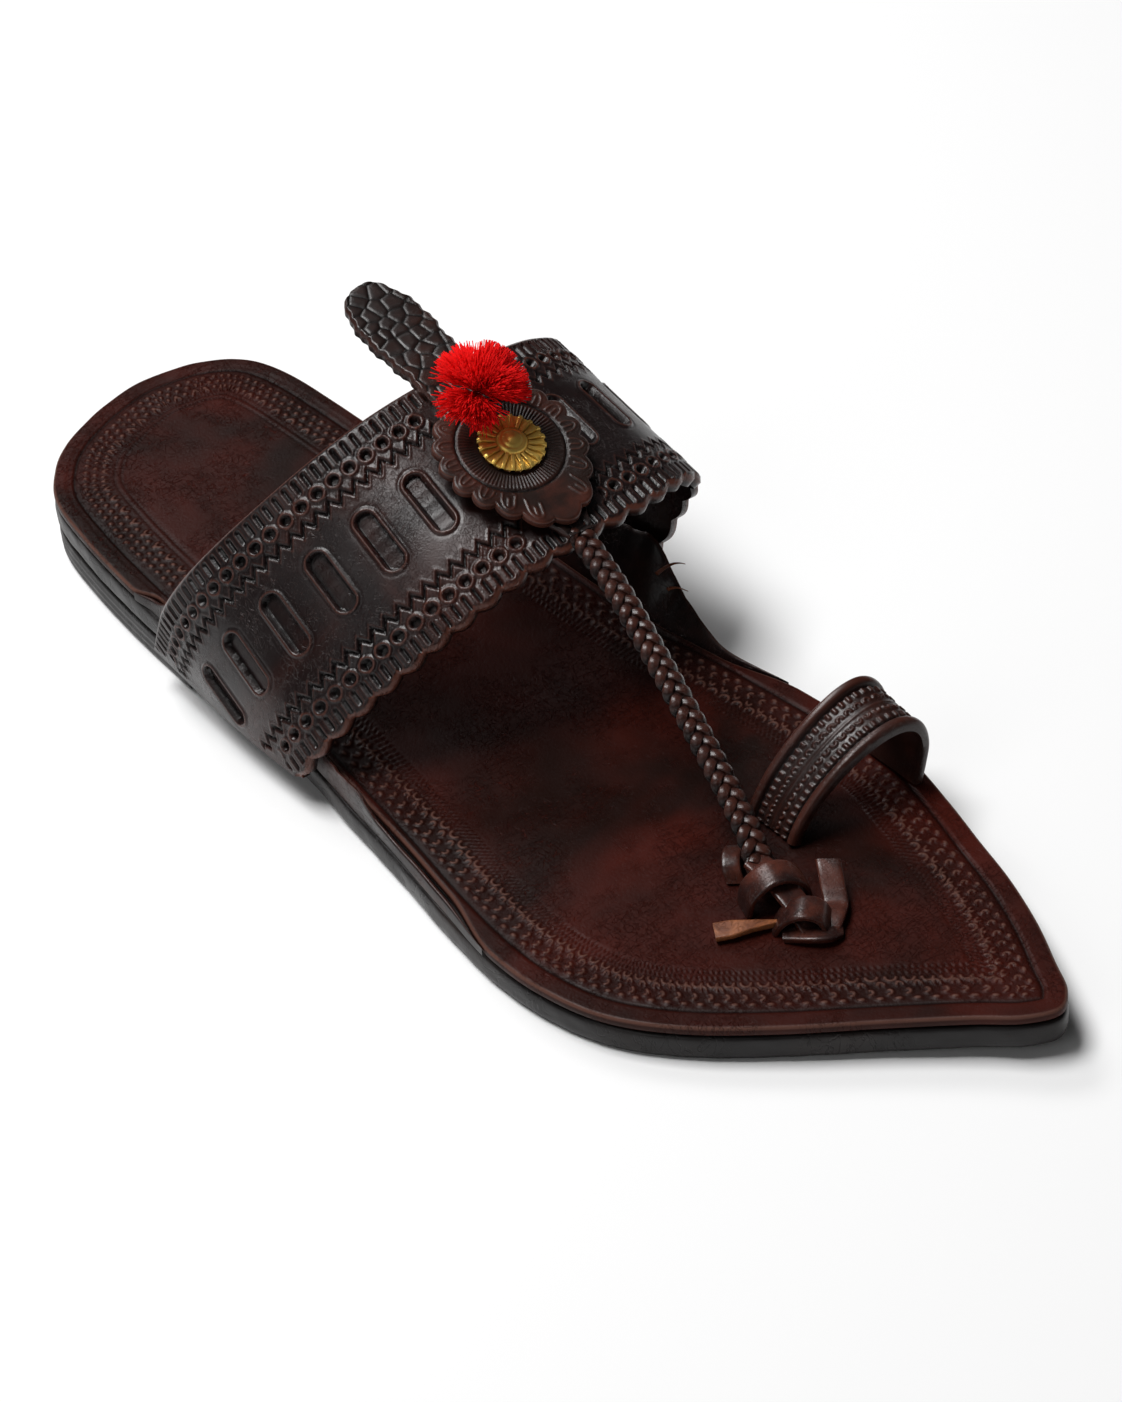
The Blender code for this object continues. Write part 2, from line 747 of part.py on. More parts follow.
def make_upper(material):
    band = add_object("upper", *make_band(), material)
    strap = add_object("strap_form", *make_strap(), material)
    strap.hide_render = True
    strap.display_type = "WIRE"
    join = band.modifiers.new("join", "BOOLEAN")
    join.operation = "UNION"
    join.solver = "EXACT"
    join.object = strap


# Toe loop with its two rolled edges

def make_loop(material):
    table = np.array(LOOP_ROWS)
    steps = 2
    count = (len(LOOP_ROWS) - 1) * steps + 1
    # place across the strap, share of the wall's thickness
    section = ((-1.0, -0.5), (1.0, -0.5), (1.0, 0.4), (0.96, 0.75), (0.82, 0.75), (0.76, 0.5),
               (-0.76, 0.5), (-0.82, 0.75), (-0.96, 0.75), (-1.0, 0.4))
    points = []
    for number in range(count):
        place = number / steps
        row = smooth_row(table, place)
        run = row_slope(table, place)[:2] * np.array([HALF_BALL, LOOP_HEIGHT])
        run /= np.linalg.norm(run)
        normal = np.array([run[1], -run[0]])
        if number in (0, count - 1):
            normal = np.array([1.0 if number == 0 else -1.0, 0.0])
        across = row[0] * HALF_BALL
        middle = LOOP_ALONG - LOOP_SKEW * (across + 0.0187)
        for share, depth in section:
            along = middle + share * LOOP_HALF_WIDTH
            lift = depth * LOOP_WALL
            height = float(insole_top(along)) + (row[1] - share * row[2]) * LOOP_HEIGHT
            height += normal[1] * lift
            points.append((across + normal[0] * lift, along, height))
    add_object("toe_loop", points, tube_faces(count, len(section)), material)


# Knot: strips that stand as small arches on the insole, and loose ends beside them

def make_strip(name, half_width, rows, on_feet, material):
    table = np.array(rows)
    steps = 2
    count = (len(rows) - 1) * steps + 1
    span = (table[-1][:2] - table[0][:2]) * np.array([HALF_BALL, INSTEP_REACH])
    level = np.array([*span, 0.0]) / np.linalg.norm(span)
    side = np.array([-level[1], level[0], 0.0])
    floor = float(insole_top(table[0][1] * INSTEP_REACH)) + SEAT_GAP
    scale = np.array([HALF_BALL, INSTEP_REACH, KNOT_HEIGHT])
    points = []
    for number in range(count):
        place = number / steps
        spot = smooth_row(table, place) * scale
        forward = row_slope(table, place) * scale
        forward /= np.linalg.norm(forward)
        if on_feet and number in (0, count - 1):
            forward = np.array([0.0, 0.0, 1.0 if number == 0 else -1.0])
        normal = np.cross(side, forward)
        normal /= np.linalg.norm(normal)
        for share, depth in ((-1.0, -0.3), (-0.8, -0.5), (0.8, -0.5), (1.0, -0.3),
                             (1.0, 0.3), (0.8, 0.5), (0.0, 0.6), (-0.8, 0.5), (-1.0, 0.3)):
            point = spot + side * share * half_width + normal * depth * KNOT_WALL
            points.append(point + np.array([0.0, 0.0, floor]))
    add_object(name, points, tube_faces(count, 9), material)


def make_knot(dark, tan):
    for name, (half_width, rows) in KNOT_STRIPS.items():
        make_strip(name, half_width, rows, True, dark)
    for name, (half_width, rows) in KNOT_ENDS.items():
        make_strip(name, half_width, rows, False, tan if name == "knot_end_lateral" else dark)


# Rosette plate, stud and pompom on the band's crown

def rosette_frame():
    """Centre and directions of the rosette's plane, from the middle of the band's crown."""
    run = STRAP_PITCH * SLOT_PITCH
    middle = band_point(run, BAND_WIDTH / 2, 0.0)
    upward = band_point(run, BAND_WIDTH / 2, 1.0) - middle
    forward = band_point(run, BAND_WIDTH, 0.0) - band_point(run, 0.0, 0.0)
    forward /= np.linalg.norm(forward)
    side = np.cross(forward, upward)
    proud = BAND_WALL / 2 + STRAP_PROUD + SEAT_GAP + ROSETTE_WALL / 2
    return middle + upward * proud + side * ROSETTE_SIDE, side, forward, upward


ROSETTE_AXES = rosette_frame()


def on_rosette(right, ahead, lift):
    """A place on the rosette's plane: right is lateral, ahead is down towards the toe."""
    centre, side, forward, upward = ROSETTE_AXES
    return tuple(centre + side * right + forward * ahead + upward * lift)


def rosette_radius(turn):
    """Round with scalloped lobes, drawn out to a tip towards the toe."""
    ahead = max(0.0, math.cos(turn)) ** 6
    lobes = 0.0006 * (abs(math.sin(ROSETTE_LOBES * turn / 2)) - 0.5)
    return ROSETTE_RADIUS + (ROSETTE_TIP - ROSETTE_RADIUS) * ahead + lobes


def make_rosette(material):
    around = 4 * ROSETTE_LOBES
    half = ROSETTE_WALL / 2
    # share of the radius, height
    field = half - 0.0004
    rings = ((1.0, -half), (1.0, half - 0.0003), (0.95, half), (0.77, half), (0.72, field))
    points = [on_rosette(0.0, 0.0, -half)]
    for share, lift in rings:
        for corner in range(around):
            turn = 2 * math.pi * corner / around
            radius = rosette_radius(turn) * share
            points.append(on_rosette(radius * math.sin(turn), radius * math.cos(turn), lift))
    points.append(on_rosette(0.0, 0.0, field))
    add_object("rosette", points, fan_faces(len(rings), around), material)


def fan_faces(rings, around):
    """Faces of a turned shape: a centre point, rings of points, and a centre point."""
    last = rings * around + 1
    faces = []
    for corner in range(around):
        after = (corner + 1) % around
        faces.append((0, 1 + after, 1 + corner))
        faces.append((last, last - around + corner, last - around + after))
        for ring in range(rings - 1):
            base = 1 + ring * around
            faces.append((base + corner, base + after, base + around + after, base + around + corner))
    return faces


def make_stud(material):
    around = 2 * STUD_RIBS
    seat = ROSETTE_WALL / 2 + SEAT_GAP
    # share of the radius, height above the rosette, rib relief
    rings = ((0.96, 0.0, 1.0), (1.0, 0.0006, 1.0), (0.82, 0.0014, 1.0), (0.56, 0.0020, 0.5),
             (0.50, 0.0020, 0.0), (0.44, 0.0032, 0.0), (0.30, 0.0042, 0.0), (0.12, 0.0048, 0.0))
    points = [on_rosette(0.0, 0.0, seat)]
    for share, lift, ribs in rings:
        for corner in range(around):
            turn = 2 * math.pi * corner / around
            notch = 1.0 - 0.10 * ribs * (corner % 2)
            radius = STUD_RADIUS * share * notch
            rise = seat + lift * (1.0 - 0.35 * ribs * (corner % 2))
            points.append(on_rosette(radius * math.sin(turn), radius * math.cos(turn), rise))
    points.append(on_rosette(0.0, 0.0, seat + STUD_HEIGHT))
    add_object("stud", points, fan_faces(len(rings), around), material)


def pompom_seat(ahead):
    """Lowest lift that a lock may reach: on the rosette, and over the stud in front."""
    return ROSETTE_WALL / 2 + SEAT_GAP + (STUD_HEIGHT + SEAT_GAP) * float(ease(ahead, -0.0098, -0.0060))


def make_pompom(material):
    body = bmesh.new()
    bmesh.ops.create_icosphere(body, subdivisions=2, radius=1.0)
    tips = [vertex.co.normalized() for vertex in body.verts]
    body.free()
    body = bmesh.new()
    bmesh.ops.create_icosphere(body, subdivisions=3, radius=1.0)
    for vertex in body.verts:
        turn = vertex.co.normalized()
        is_tip = any((turn - tip).length < 1e-4 for tip in tips)
        parting = 0.92 + 0.08 * math.sin(3 * turn.x + 4 * turn.z) * math.cos(3 * turn.y)
        radius = (POMPOM_RADIUS if is_tip else POMPOM_CORE) * parting
        ahead = POMPOM_AHEAD + turn.y * radius
        lift = max(POMPOM_LIFT + turn.z * radius, pompom_seat(ahead))
        vertex.co = on_rosette(POMPOM_RIGHT + turn.x * radius, ahead, lift)
    mesh = bpy.data.meshes.new("pompom")
    body.to_mesh(mesh)
    body.free()
    mesh.materials.append(material)
    pompom = bpy.data.objects.new("pompom", mesh)
    bpy.context.collection.objects.link(pompom)


def main():
    clear_scene()
    edge_black = leather("edge_black", (0.030, 0.022, 0.020), 0.45)
    heel_black = leather("heel_black", (0.026, 0.020, 0.018), 0.50)
    oxblood = leather("oxblood", (0.105, 0.022, 0.014), 0.38)
    band_brown = leather("band_brown", (0.050, 0.020, 0.013), 0.35)
    ear_brown = leather("ear_brown", (0.055, 0.018, 0.012), 0.42)
    loop_brown = leather("loop_brown", (0.085, 0.026, 0.015), 0.36)
    rosette_brown = leather("rosette_brown", (0.095, 0.030, 0.018), 0.45)
    knot_brown = leather("knot_brown", (0.095, 0.028, 0.016), 0.32)
    tan = leather("tan", (0.330, 0.110, 0.045), 0.40)
    brass = leather("brass", (0.780, 0.520, 0.140), 0.28, 1.0)
    red_thread = leather("red_thread", (0.820, 0.012, 0.012), 0.85)
    make_soles(edge_black, heel_black, oxblood)
    make_ear("ear_lateral", LATERAL_EAR, True, ear_brown)
    make_ear("ear_medial", MEDIAL_EAR, False, ear_brown)
    make_upper(band_brown)
    make_loop(loop_brown)
    make_knot(knot_brown, tan)
    make_rosette(rosette_brown)
    make_stud(brass)
    make_pompom(red_thread)


main()
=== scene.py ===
import math

import bpy
import numpy as np
from mathutils import Matrix, Vector, kdtree
from mathutils.geometry import delaunay_2d_cdt


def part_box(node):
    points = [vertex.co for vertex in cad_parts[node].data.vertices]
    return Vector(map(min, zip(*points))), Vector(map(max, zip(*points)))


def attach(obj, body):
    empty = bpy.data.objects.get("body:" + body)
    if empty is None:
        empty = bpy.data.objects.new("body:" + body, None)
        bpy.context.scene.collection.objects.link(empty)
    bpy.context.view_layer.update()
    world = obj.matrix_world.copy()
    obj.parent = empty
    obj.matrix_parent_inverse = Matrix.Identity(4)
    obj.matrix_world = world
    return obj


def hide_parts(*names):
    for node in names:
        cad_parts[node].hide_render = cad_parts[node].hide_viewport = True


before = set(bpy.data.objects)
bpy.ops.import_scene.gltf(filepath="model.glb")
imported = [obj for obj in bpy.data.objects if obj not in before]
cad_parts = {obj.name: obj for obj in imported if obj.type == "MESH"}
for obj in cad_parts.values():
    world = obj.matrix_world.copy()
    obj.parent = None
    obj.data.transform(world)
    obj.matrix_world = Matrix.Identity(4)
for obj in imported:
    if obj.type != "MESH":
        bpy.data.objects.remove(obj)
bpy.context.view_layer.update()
MM = 0.001

# Sole edge. The outsole, the insole and the heel block are cut to one outline, drawn round the
# maker's last: blunt heel, slim waist, and a toe that sweeps inwards to a point. Each row gives
# along (share of the length), lateral edge and medial edge (shares of half the ball's width).
SOLE_LENGTH = (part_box("outsole")[1].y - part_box("outsole")[0].y)
HEEL_BACK = -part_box("outsole")[0].y
HALF_BALL = 50 * MM
SOLE_EDGE = (
    (0.000, -0.134, -0.134),
    (0.006, 0.066, -0.350),
    (0.014, 0.202, -0.460),
    (0.028, 0.366, -0.570),
    (0.049, 0.506, -0.648),
    (0.084, 0.634, -0.694),
    (0.139, 0.698, -0.712),
    (0.216, 0.744, -0.726),
    (0.296, 0.764, -0.764),
    (0.383, 0.766, -0.824),
    (0.452, 0.774, -0.878),
    (0.508, 0.804, -0.920),
    (0.564, 0.842, -0.968),
    (0.630, 0.896, -1.012),
    (0.692, 0.924, -1.040),
    (0.741, 0.904, -1.044),
    (0.790, 0.820, -0.984),
    (0.835, 0.640, -0.912),
    (0.880, 0.376, -0.838),
    (0.925, 0.074, -0.736),
    (0.963, -0.166, -0.624),
    (0.988, -0.304, -0.546),
    (1.000, -0.440, -0.440),
)
EDGE_COLUMNS = 1880


def smooth_rows(rows, places, closed=False):
    """Smooth curve through the rows of a table, read at places counted in rows."""
    rows = np.asarray(rows, float)
    places = np.atleast_1d(np.asarray(places, float))
    count = len(rows)
    last = count if closed else count - 1
    at = np.clip(places, 0.0, last - 1e-9)
    step = at.astype(int)
    share = (at - step)[:, None]
    if closed:
        before, start, end, after = (rows[(step + shift) % count] for shift in (-1, 0, 1, 2))
    else:
        padded = np.vstack([2 * rows[0] - rows[1], rows, 2 * rows[-1] - rows[-2]])
        before, start, end, after = (padded[step + shift] for shift in (0, 1, 2, 3))
    slope_in = (end - before) / 2
    slope_out = (after - start) / 2
    square = share * share
    cube = square * share
    return ((2 * cube - 3 * square + 1) * start + (cube - 2 * square + share) * slope_in
            + (3 * square - 2 * cube) * end + (cube - square) * slope_out)


def even_run(points, count):
    """A closed line walked in even steps, with the length walked at each step."""
    closed = np.vstack([points, points[:1]])
    walked = np.concatenate([[0.0], np.cumsum(np.linalg.norm(np.diff(closed, axis=0), axis=1))])
    even = np.linspace(0.0, walked[-1], count, endpoint=False)
    return np.stack([np.interp(even, walked, column) for column in closed.T], 1), even


def cut_line():
    lateral = [(row[1] * HALF_BALL, row[0] * SOLE_LENGTH - HEEL_BACK) for row in SOLE_EDGE]
    medial = [(row[2] * HALF_BALL, row[0] * SOLE_LENGTH - HEEL_BACK) for row in SOLE_EDGE]
    corners = np.array(lateral + medial[-2:0:-1])
    return even_run(smooth_rows(corners, np.arange(0, len(corners), 0.02), True), EDGE_COLUMNS)


EDGE, EDGE_RUN = cut_line()
EDGE_LATERAL = np.arange(EDGE_COLUMNS) <= np.argmax(EDGE[:, 1])
edge_ahead = np.roll(EDGE, -2, axis=0) - np.roll(EDGE, 2, axis=0)
INWARD = np.stack([-edge_ahead[:, 1], edge_ahead[:, 0]], 1)
INWARD /= np.linalg.norm(INWARD, axis=1)[:, None]
edge_tree = kdtree.KDTree(EDGE_COLUMNS)
for number, (across, along) in enumerate(EDGE):
    edge_tree.insert((across, along, 0.0), number)
edge_tree.balance()


def depth_from_edge(flat):
    """How far each point lies inside the sole's edge."""
    return np.array([edge_tree.find((across, along, 0.0))[2] for across, along in flat])


def inset_ring(depth):
    """The sole's edge moved inwards; where the toe's point folds it over, it is drawn straight."""
    depth = np.broadcast_to(depth, EDGE_COLUMNS)
    moved = EDGE + INWARD * depth[:, None]
    good = depth_from_edge(moved) > depth - 0.03 * MM
    places = np.arange(EDGE_COLUMNS)
    return np.stack([np.interp(places, places[good], moved[good, axis], period=EDGE_COLUMNS)
                     for axis in (0, 1)], 1)


def ease(value, low, high):
    share = np.clip((value - low) / (high - low), 0.0, 1.0)
    return share * share * (3 - 2 * share)


def fill_flat(outline, inner):
    """Triangles of a flat outline and the loose points inside it."""
    points = np.vstack([outline, inner]) if len(inner) else np.asarray(outline)
    edges = [(number, (number + 1) % len(outline)) for number in range(len(outline))]
    flat = [Vector(point) for point in (points / MM).tolist()]
    corners, _, faces, came_from, _, _ = delaunay_2d_cdt(flat, edges, [], 1, 1e-6)
    origin = [sources[0] if sources else 0 for sources in came_from]
    return points, [tuple(origin[corner] for corner in face) for face in faces]


def ring_faces(rings, around, first=0):
    """Faces between closed rings of points that follow each other in a list."""
    faces = []
    for ring in range(rings - 1):
        base = first + ring * around
        for corner in range(around):
            after = (corner + 1) % around
            faces.append((base + corner, base + after, base + around + after, base + around + corner))
    return faces


def add_piece(name, points, faces, material, tones=None, sharp=50):
    """A mesh that rides on the sandal, with its tone values kept per point: dye and stamping, painted
    highlight and painted shade.
    """
    mesh = bpy.data.meshes.new(name)
    mesh.from_pydata(np.asarray(points, float).tolist(), [], faces)
    mesh.validate()
    for label, values in (tones or {}).items():
        layer = mesh.attributes.new(label, "FLOAT", "POINT")
        layer.data.foreach_set("value", np.asarray(values, np.float32))
    mesh.shade_smooth()
    mesh.set_sharp_from_angle(angle=math.radians(sharp))
    mesh.materials.append(material)
    piece = bpy.data.objects.new(name, mesh)
    bpy.context.scene.collection.objects.link(piece)
    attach(piece, "root")
    return piece


# Heel block: a low block of stacked leather cut to the sole's edge, glued and pegged under the
# back of the sole, its sides burnished and inked black.
HEEL_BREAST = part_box("heel")[1].y
HEEL_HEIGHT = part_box("heel")[1].z
LAYER_GAP = 0.3 * MM
HEEL_INK = (0.008, 0.006, 0.006)
HEEL_COLUMNS = 620


def shader_tree(name):
    """A new material with its node tree, and a short way to add nodes to it."""
    material = bpy.data.materials.new(name)
    material.use_nodes = True
    tree = material.node_tree

    def node(kind, **settings):
        made = tree.nodes.new(kind)
        for key, value in settings.items():
            setattr(made, key, value)
        return made
    return material, tree, node


def leather(name, deep, worn_and_highlight, grain_size, grain_depth, gloss, blotch=22.0, scratch=0.0, stamped=False,
            coat=0.25, worn_share=0.5, rubbed_and_highlight_colour=None, sheen=0.26):
    """Dyed and burnished leather: blotches of deep dye and lighter rubbed dye, wrinkled grain; its tone is
    rubbed dye and painted highlight on raised parts, ink and painted shade in recesses.
    """
    material, tree, node = shader_tree(name)
    link = tree.links.new
    skin = tree.nodes["Principled BSDF"]
    place = node("ShaderNodeTexCoord").outputs["Object"]

    def noise(scale, detail=3.0, rough=0.55, distortion=0.0):
        made = node("ShaderNodeTexNoise")
        made.inputs["Scale"].default_value = scale
        made.inputs["Detail"].default_value = detail
        made.inputs["Roughness"].default_value = rough
        made.inputs["Distortion"].default_value = distortion
        link(place, made.inputs["Vector"])
        return made.outputs["Fac"]

    def shape(value, low, high, to_low=0.0, to_high=1.0):
        made = node("ShaderNodeMapRange", interpolation_type="SMOOTHSTEP")
        link(value, made.inputs["Value"])
        for label, number in (("From Min", low), ("From Max", high), ("To Min", to_low), ("To Max", to_high)):
            made.inputs[label].default_value = number
        return made.outputs["Result"]

    def sum_of(kind, one, two):
        made = node("ShaderNodeMath", operation=kind)
        for socket, value in zip(made.inputs, (one, two)):
            if isinstance(value, (int, float)):
                socket.default_value = value
            else:
                link(value, socket)
        return made.outputs["Value"]

    def mix(share, one, two):
        made = node("ShaderNodeMix", data_type="RGBA")
        link(share, made.inputs["Factor"])
        for socket, value in ((made.inputs[6], one), (made.inputs[7], two)):
            if isinstance(value, tuple):
                socket.default_value = (*value, 1.0)
            else:
                link(value, socket)
        return made.outputs[2]

    dye = shape(noise(blotch, 4.0, 0.6, 0.4), 0.62 - 0.34 * worn_share, 0.92 - 0.34 * worn_share)
    colour = mix(dye, deep, worn_and_highlight)
    patches = shape(noise(60.0, 2.0), 0.40, 0.58)
    creases = []
    for turned, stretch in ((0.5, (1.0, 3.2, 1.0)), (-0.7, (3.0, 1.0, 1.0))):
        bent = node("ShaderNodeMapping")
        bent.inputs["Rotation"].default_value = (0.0, 0.0, turned)
        bent.inputs["Scale"].default_value = stretch
        link(place, bent.inputs["Vector"])
        ridged = node("ShaderNodeTexNoise")
        ridged.inputs["Scale"].default_value = 0.32 / grain_size
        ridged.inputs["Detail"].default_value = 2.0
        ridged.inputs["Distortion"].default_value = 1.1
        link(bent.outputs["Vector"], ridged.inputs["Vector"])
        middle = sum_of("ABSOLUTE", sum_of("SUBTRACT", ridged.outputs["Fac"], 0.5), 0.0)
        creases.append(shape(middle, 0.020, 0.0))
    crack = sum_of("MULTIPLY", sum_of("MAXIMUM", *creases), patches)
    pore = noise(2.2 / grain_size, 2.0)
    relief = sum_of("SUBTRACT", sum_of("MULTIPLY", pore, 0.35), crack)
    if scratch:
        colour = mix(sum_of("MULTIPLY", crack, scratch), colour, worn_and_highlight)
    bump = node("ShaderNodeBump")
    bump.inputs["Strength"].default_value = 1.0
    bump.inputs["Distance"].default_value = grain_depth
    link(relief, bump.inputs["Height"])
    top = bump.outputs["Normal"]
    # Tone above zero lightens a point and tone below zero darkens it: partly rubbed dye and ink in the
    # stamping, partly painted highlight and painted shade.
    if stamped:
        tone = node("ShaderNodeAttribute", attribute_name="tone").outputs["Fac"]
        colour = mix(shape(tone, 0.05, 1.0), colour, worn_and_highlight if rubbed_and_highlight_colour is None else rubbed_and_highlight_colour)
        ink_and_shade_colour = tuple(0.25 * part for part in deep)
        colour = mix(shape(tone, -0.05, -0.9), colour, ink_and_shade_colour)
    link(colour, skin.inputs["Base Color"])
    link(shape(noise(90.0, 3.0), 0.3, 0.7, gloss - 0.07, gloss + 0.08), skin.inputs["Roughness"])
    link(top, skin.inputs["Normal"])
    skin.inputs["Coat Weight"].default_value = coat
    skin.inputs["Coat Roughness"].default_value = 0.3
    skin.inputs["Specular IOR Level"].default_value = sheen
    return material


def fill_points(ring, spacing, clear):
    """Loose points on a square net inside a ring, kept clear of the sole's edge."""
    low, high = ring.min(0), ring.max(0)
    across, along = np.meshgrid(np.arange(low[0], high[0], spacing), np.arange(low[1], high[1], spacing))
    net = np.stack([across.ravel(), along.ravel()], 1)
    inside = points_inside(net, ring)
    net = net[inside]
    return net[depth_from_edge(net) > clear]


def points_inside(net, ring):
    """Which points a closed line goes round."""
    crossed = np.zeros(len(net), bool)
    for one, two in zip(ring, np.roll(ring, -1, axis=0)):
        spans = (one[1] > net[:, 1]) != (two[1] > net[:, 1])
        reach = one[0] + (net[:, 1] - one[1]) / (two[1] - one[1] + 1e-15) * (two[0] - one[0])
        crossed ^= spans & (net[:, 0] < reach)
    return crossed


def heel_ring(depth):
    """The part of an inset edge behind the heel's breast, closed straight across it."""
    ring = inset_ring(depth)
    behind = ring[:, 1] < HEEL_BREAST - depth
    lateral = ring[behind & EDGE_LATERAL]
    medial = ring[behind & ~EDGE_LATERAL]
    steps = np.linspace(0.0, 1.0, 60)[1:-1, None]
    breast = np.array([[lateral[-1][0], HEEL_BREAST - depth], [medial[0][0], HEEL_BREAST - depth]])
    across = breast[:1] * (1 - steps) + breast[1:] * steps
    return even_run(np.vstack([medial, lateral, breast[:1], across, breast[1:]]), HEEL_COLUMNS)[0]


heel_levels = [(1.0, 0.0), (0.5, 0.35), (0.35, 0.9)]
heel_levels += [(0.28 + 0.12 * math.cos(rise * 3.1), rise) for rise in np.arange(1.4, 5.9, 0.4)]
heel_levels += [(0.35, HEEL_HEIGHT / MM - 0.7), (0.5, HEEL_HEIGHT / MM - 0.25), (0.9, HEEL_HEIGHT / MM)]
heel_points = []
for depth, height in heel_levels:
    ring = heel_ring(depth * MM)
    heel_points.append(np.column_stack([ring, np.full(len(ring), height * MM)]))
heel_faces = ring_faces(len(heel_levels), HEEL_COLUMNS)
for ring in (0, len(heel_levels) - 1):
    outline = heel_points[ring][:, :2]
    _, caps = fill_flat(outline, np.empty((0, 2)))
    heel_faces += [tuple(ring * HEEL_COLUMNS + corner for corner in face) for face in caps]
heel_leather = leather("heel_ink", HEEL_INK, (0.020, 0.012, 0.010), 2.2 * MM, 0.10 * MM, 0.42, coat=0.08)
heel_piece = add_piece("heel_block", np.vstack(heel_points), heel_faces, heel_leather, sharp=60)
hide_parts("heel")

# Outsole: one thick hide that dips off the heel block to the floor and lifts a little at the toe.
# Its side is pared by knife, inked black and rubbed to a satin shine, so it waves slightly.
OUTSOLE = 6.0 * MM
TOE_SPRING = 3.0 * MM
WAIST_START = HEEL_BREAST + 2 * MM
WAIST_END = 108 * MM
SPRING_START = 192 * MM
SOLE_INK = (0.008, 0.006, 0.006)


def underside(along):
    """Lower face of the outsole along the shoe."""
    raised = (HEEL_HEIGHT + LAYER_GAP) * (1 - ease(along, WAIST_START, WAIST_END))
    tip = SOLE_LENGTH - HEEL_BACK
    return raised + TOE_SPRING * np.clip((along - SPRING_START) / (tip - SPRING_START), 0.0, 1.0) ** 2


def outsole_top(along):
    return underside(along) + OUTSOLE


def waves(run, *parts):
    """Slow hand-made unevenness along an edge: (length of a wave in mm, size in mm, start)."""
    return sum(size * MM * np.sin(2 * math.pi * run / (length * MM) + start) for length, size, start in parts)


def sole_body(levels, relief=None):
    """Rings of a sole layer from its bottom face to its top: (inset, base, height above the base)."""
    rings = []
    for depth, base, rise in levels:
        inset = np.broadcast_to(depth, EDGE_COLUMNS)
        if relief is not None:
            inset = inset + relief(rise)
        ring = inset_ring(np.maximum(inset, 0.0))
        rings.append(np.column_stack([ring, base(ring[:, 1]) + rise]))
    return rings


def cap_faces(ring, first, spacing, clear, surface, points):
    """Closes a ring with a net that follows a surface, adding the net's points to a list."""
    net = fill_points(ring[:, :2], spacing, clear)
    _, faces = fill_flat(ring[:, :2], net)
    start = sum(len(part) for part in points)
    points.append(np.column_stack([net, surface(net[:, 1])]))
    count = len(ring)
    return [tuple(first + c if c < count else start + c - count for c in face) for face in faces]


def knife_marks(rise):
    """The pared side is not quite true: shallow facets that wander with the height."""
    return 0.12 * MM + waves(EDGE_RUN, (47, 0.05, 0.4), (19, 0.04, 400 * rise), (7.3, 0.025, 900 * rise))


outsole_levels = [(1.3 * MM, underside, 0.0), (0.6 * MM, underside, 0.35 * MM),
                  (0.25 * MM, underside, 1.0 * MM)]
outsole_levels += [(0.02 * MM, underside, rise * MM) for rise in (1.8, 2.6, 3.4, 4.2)]
outsole_levels += [(0.10 * MM, outsole_top, -1.1 * MM), (0.25 * MM, outsole_top, -0.5 * MM),
                   (0.55 * MM, outsole_top, -0.12 * MM), (0.9 * MM, outsole_top, 0.0)]
outsole_points = sole_body(outsole_levels, knife_marks)
outsole_faces = ring_faces(len(outsole_levels), EDGE_COLUMNS)
outsole_faces += cap_faces(outsole_points[0], 0, 4 * MM, 3 * MM, underside, outsole_points)
outsole_faces += cap_faces(outsole_points[len(outsole_levels) - 1], (len(outsole_levels) - 1) * EDGE_COLUMNS,
                           4 * MM, 3 * MM, outsole_top, outsole_points)
sole_leather = leather("sole_ink", SOLE_INK, (0.020, 0.012, 0.010), 2.6 * MM, 0.10 * MM, 0.40, coat=0.08)
outsole_piece = add_piece("outsole_hide", np.vstack(outsole_points), outsole_faces, sole_leather, sharp=60)
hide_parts("outsole")

# Insole: a thinner oxblood hide laid on the outsole, its margin stamped by hand while damp: one
# ruled groove, rows of small arches, commas and dots, then two beaded lines round the plain bed.
INSOLE = 2.4 * MM
EAR_MARGIN = 2.9 * MM
EAR_SPAN_LATERAL = (31 * MM, 137 * MM)
EAR_SPAN_MEDIAL = (31 * MM, 119 * MM)
GROOVE_DEPTH_IN = 5.0
STAMP_ROWS = (6.8, 8.7, 10.7, 12.5)
STAMP_PITCH = 3.5
BEADED_LINES = (14.1, 15.7)
BEAD_PITCH = 1.25
BORDER_END = 17.4 * MM
OXBLOOD_DEEP = (0.009, 0.003, 0.002)
OXBLOOD_WORN = (0.050, 0.007, 0.004)


def insole_top(along):
    return outsole_top(along) + LAYER_GAP + INSOLE


def ear_recess(along, lateral):
    """How much further in the insole is cut where the two ears stand on the outsole."""
    room = np.zeros(len(along))
    for side, (start, end) in ((lateral, EAR_SPAN_LATERAL), (~lateral, EAR_SPAN_MEDIAL)):
        opened = ease(along, start - 9.0 * MM, start - 1.4 * MM)
        closed = ease(along, end + 1.4 * MM, end + 22.0 * MM)
        room = np.where(side, opened * (1 - closed), room)
    return EAR_MARGIN * room


def repeat(run, pitch, shift=0.0):
    """Place within a repeat, from minus half a pitch to plus half a pitch."""
    return (run / pitch + shift + 0.5) % 1.0 * pitch - pitch / 2


def arch_field(across, up, radius, half):
    """Distance from the edge of a small stamped arch that opens downwards."""
    ring = np.abs(np.hypot(across, up) - radius)
    ends = np.hypot(np.abs(across) - radius, up)
    return np.where(up > 0, ring, ends) - half


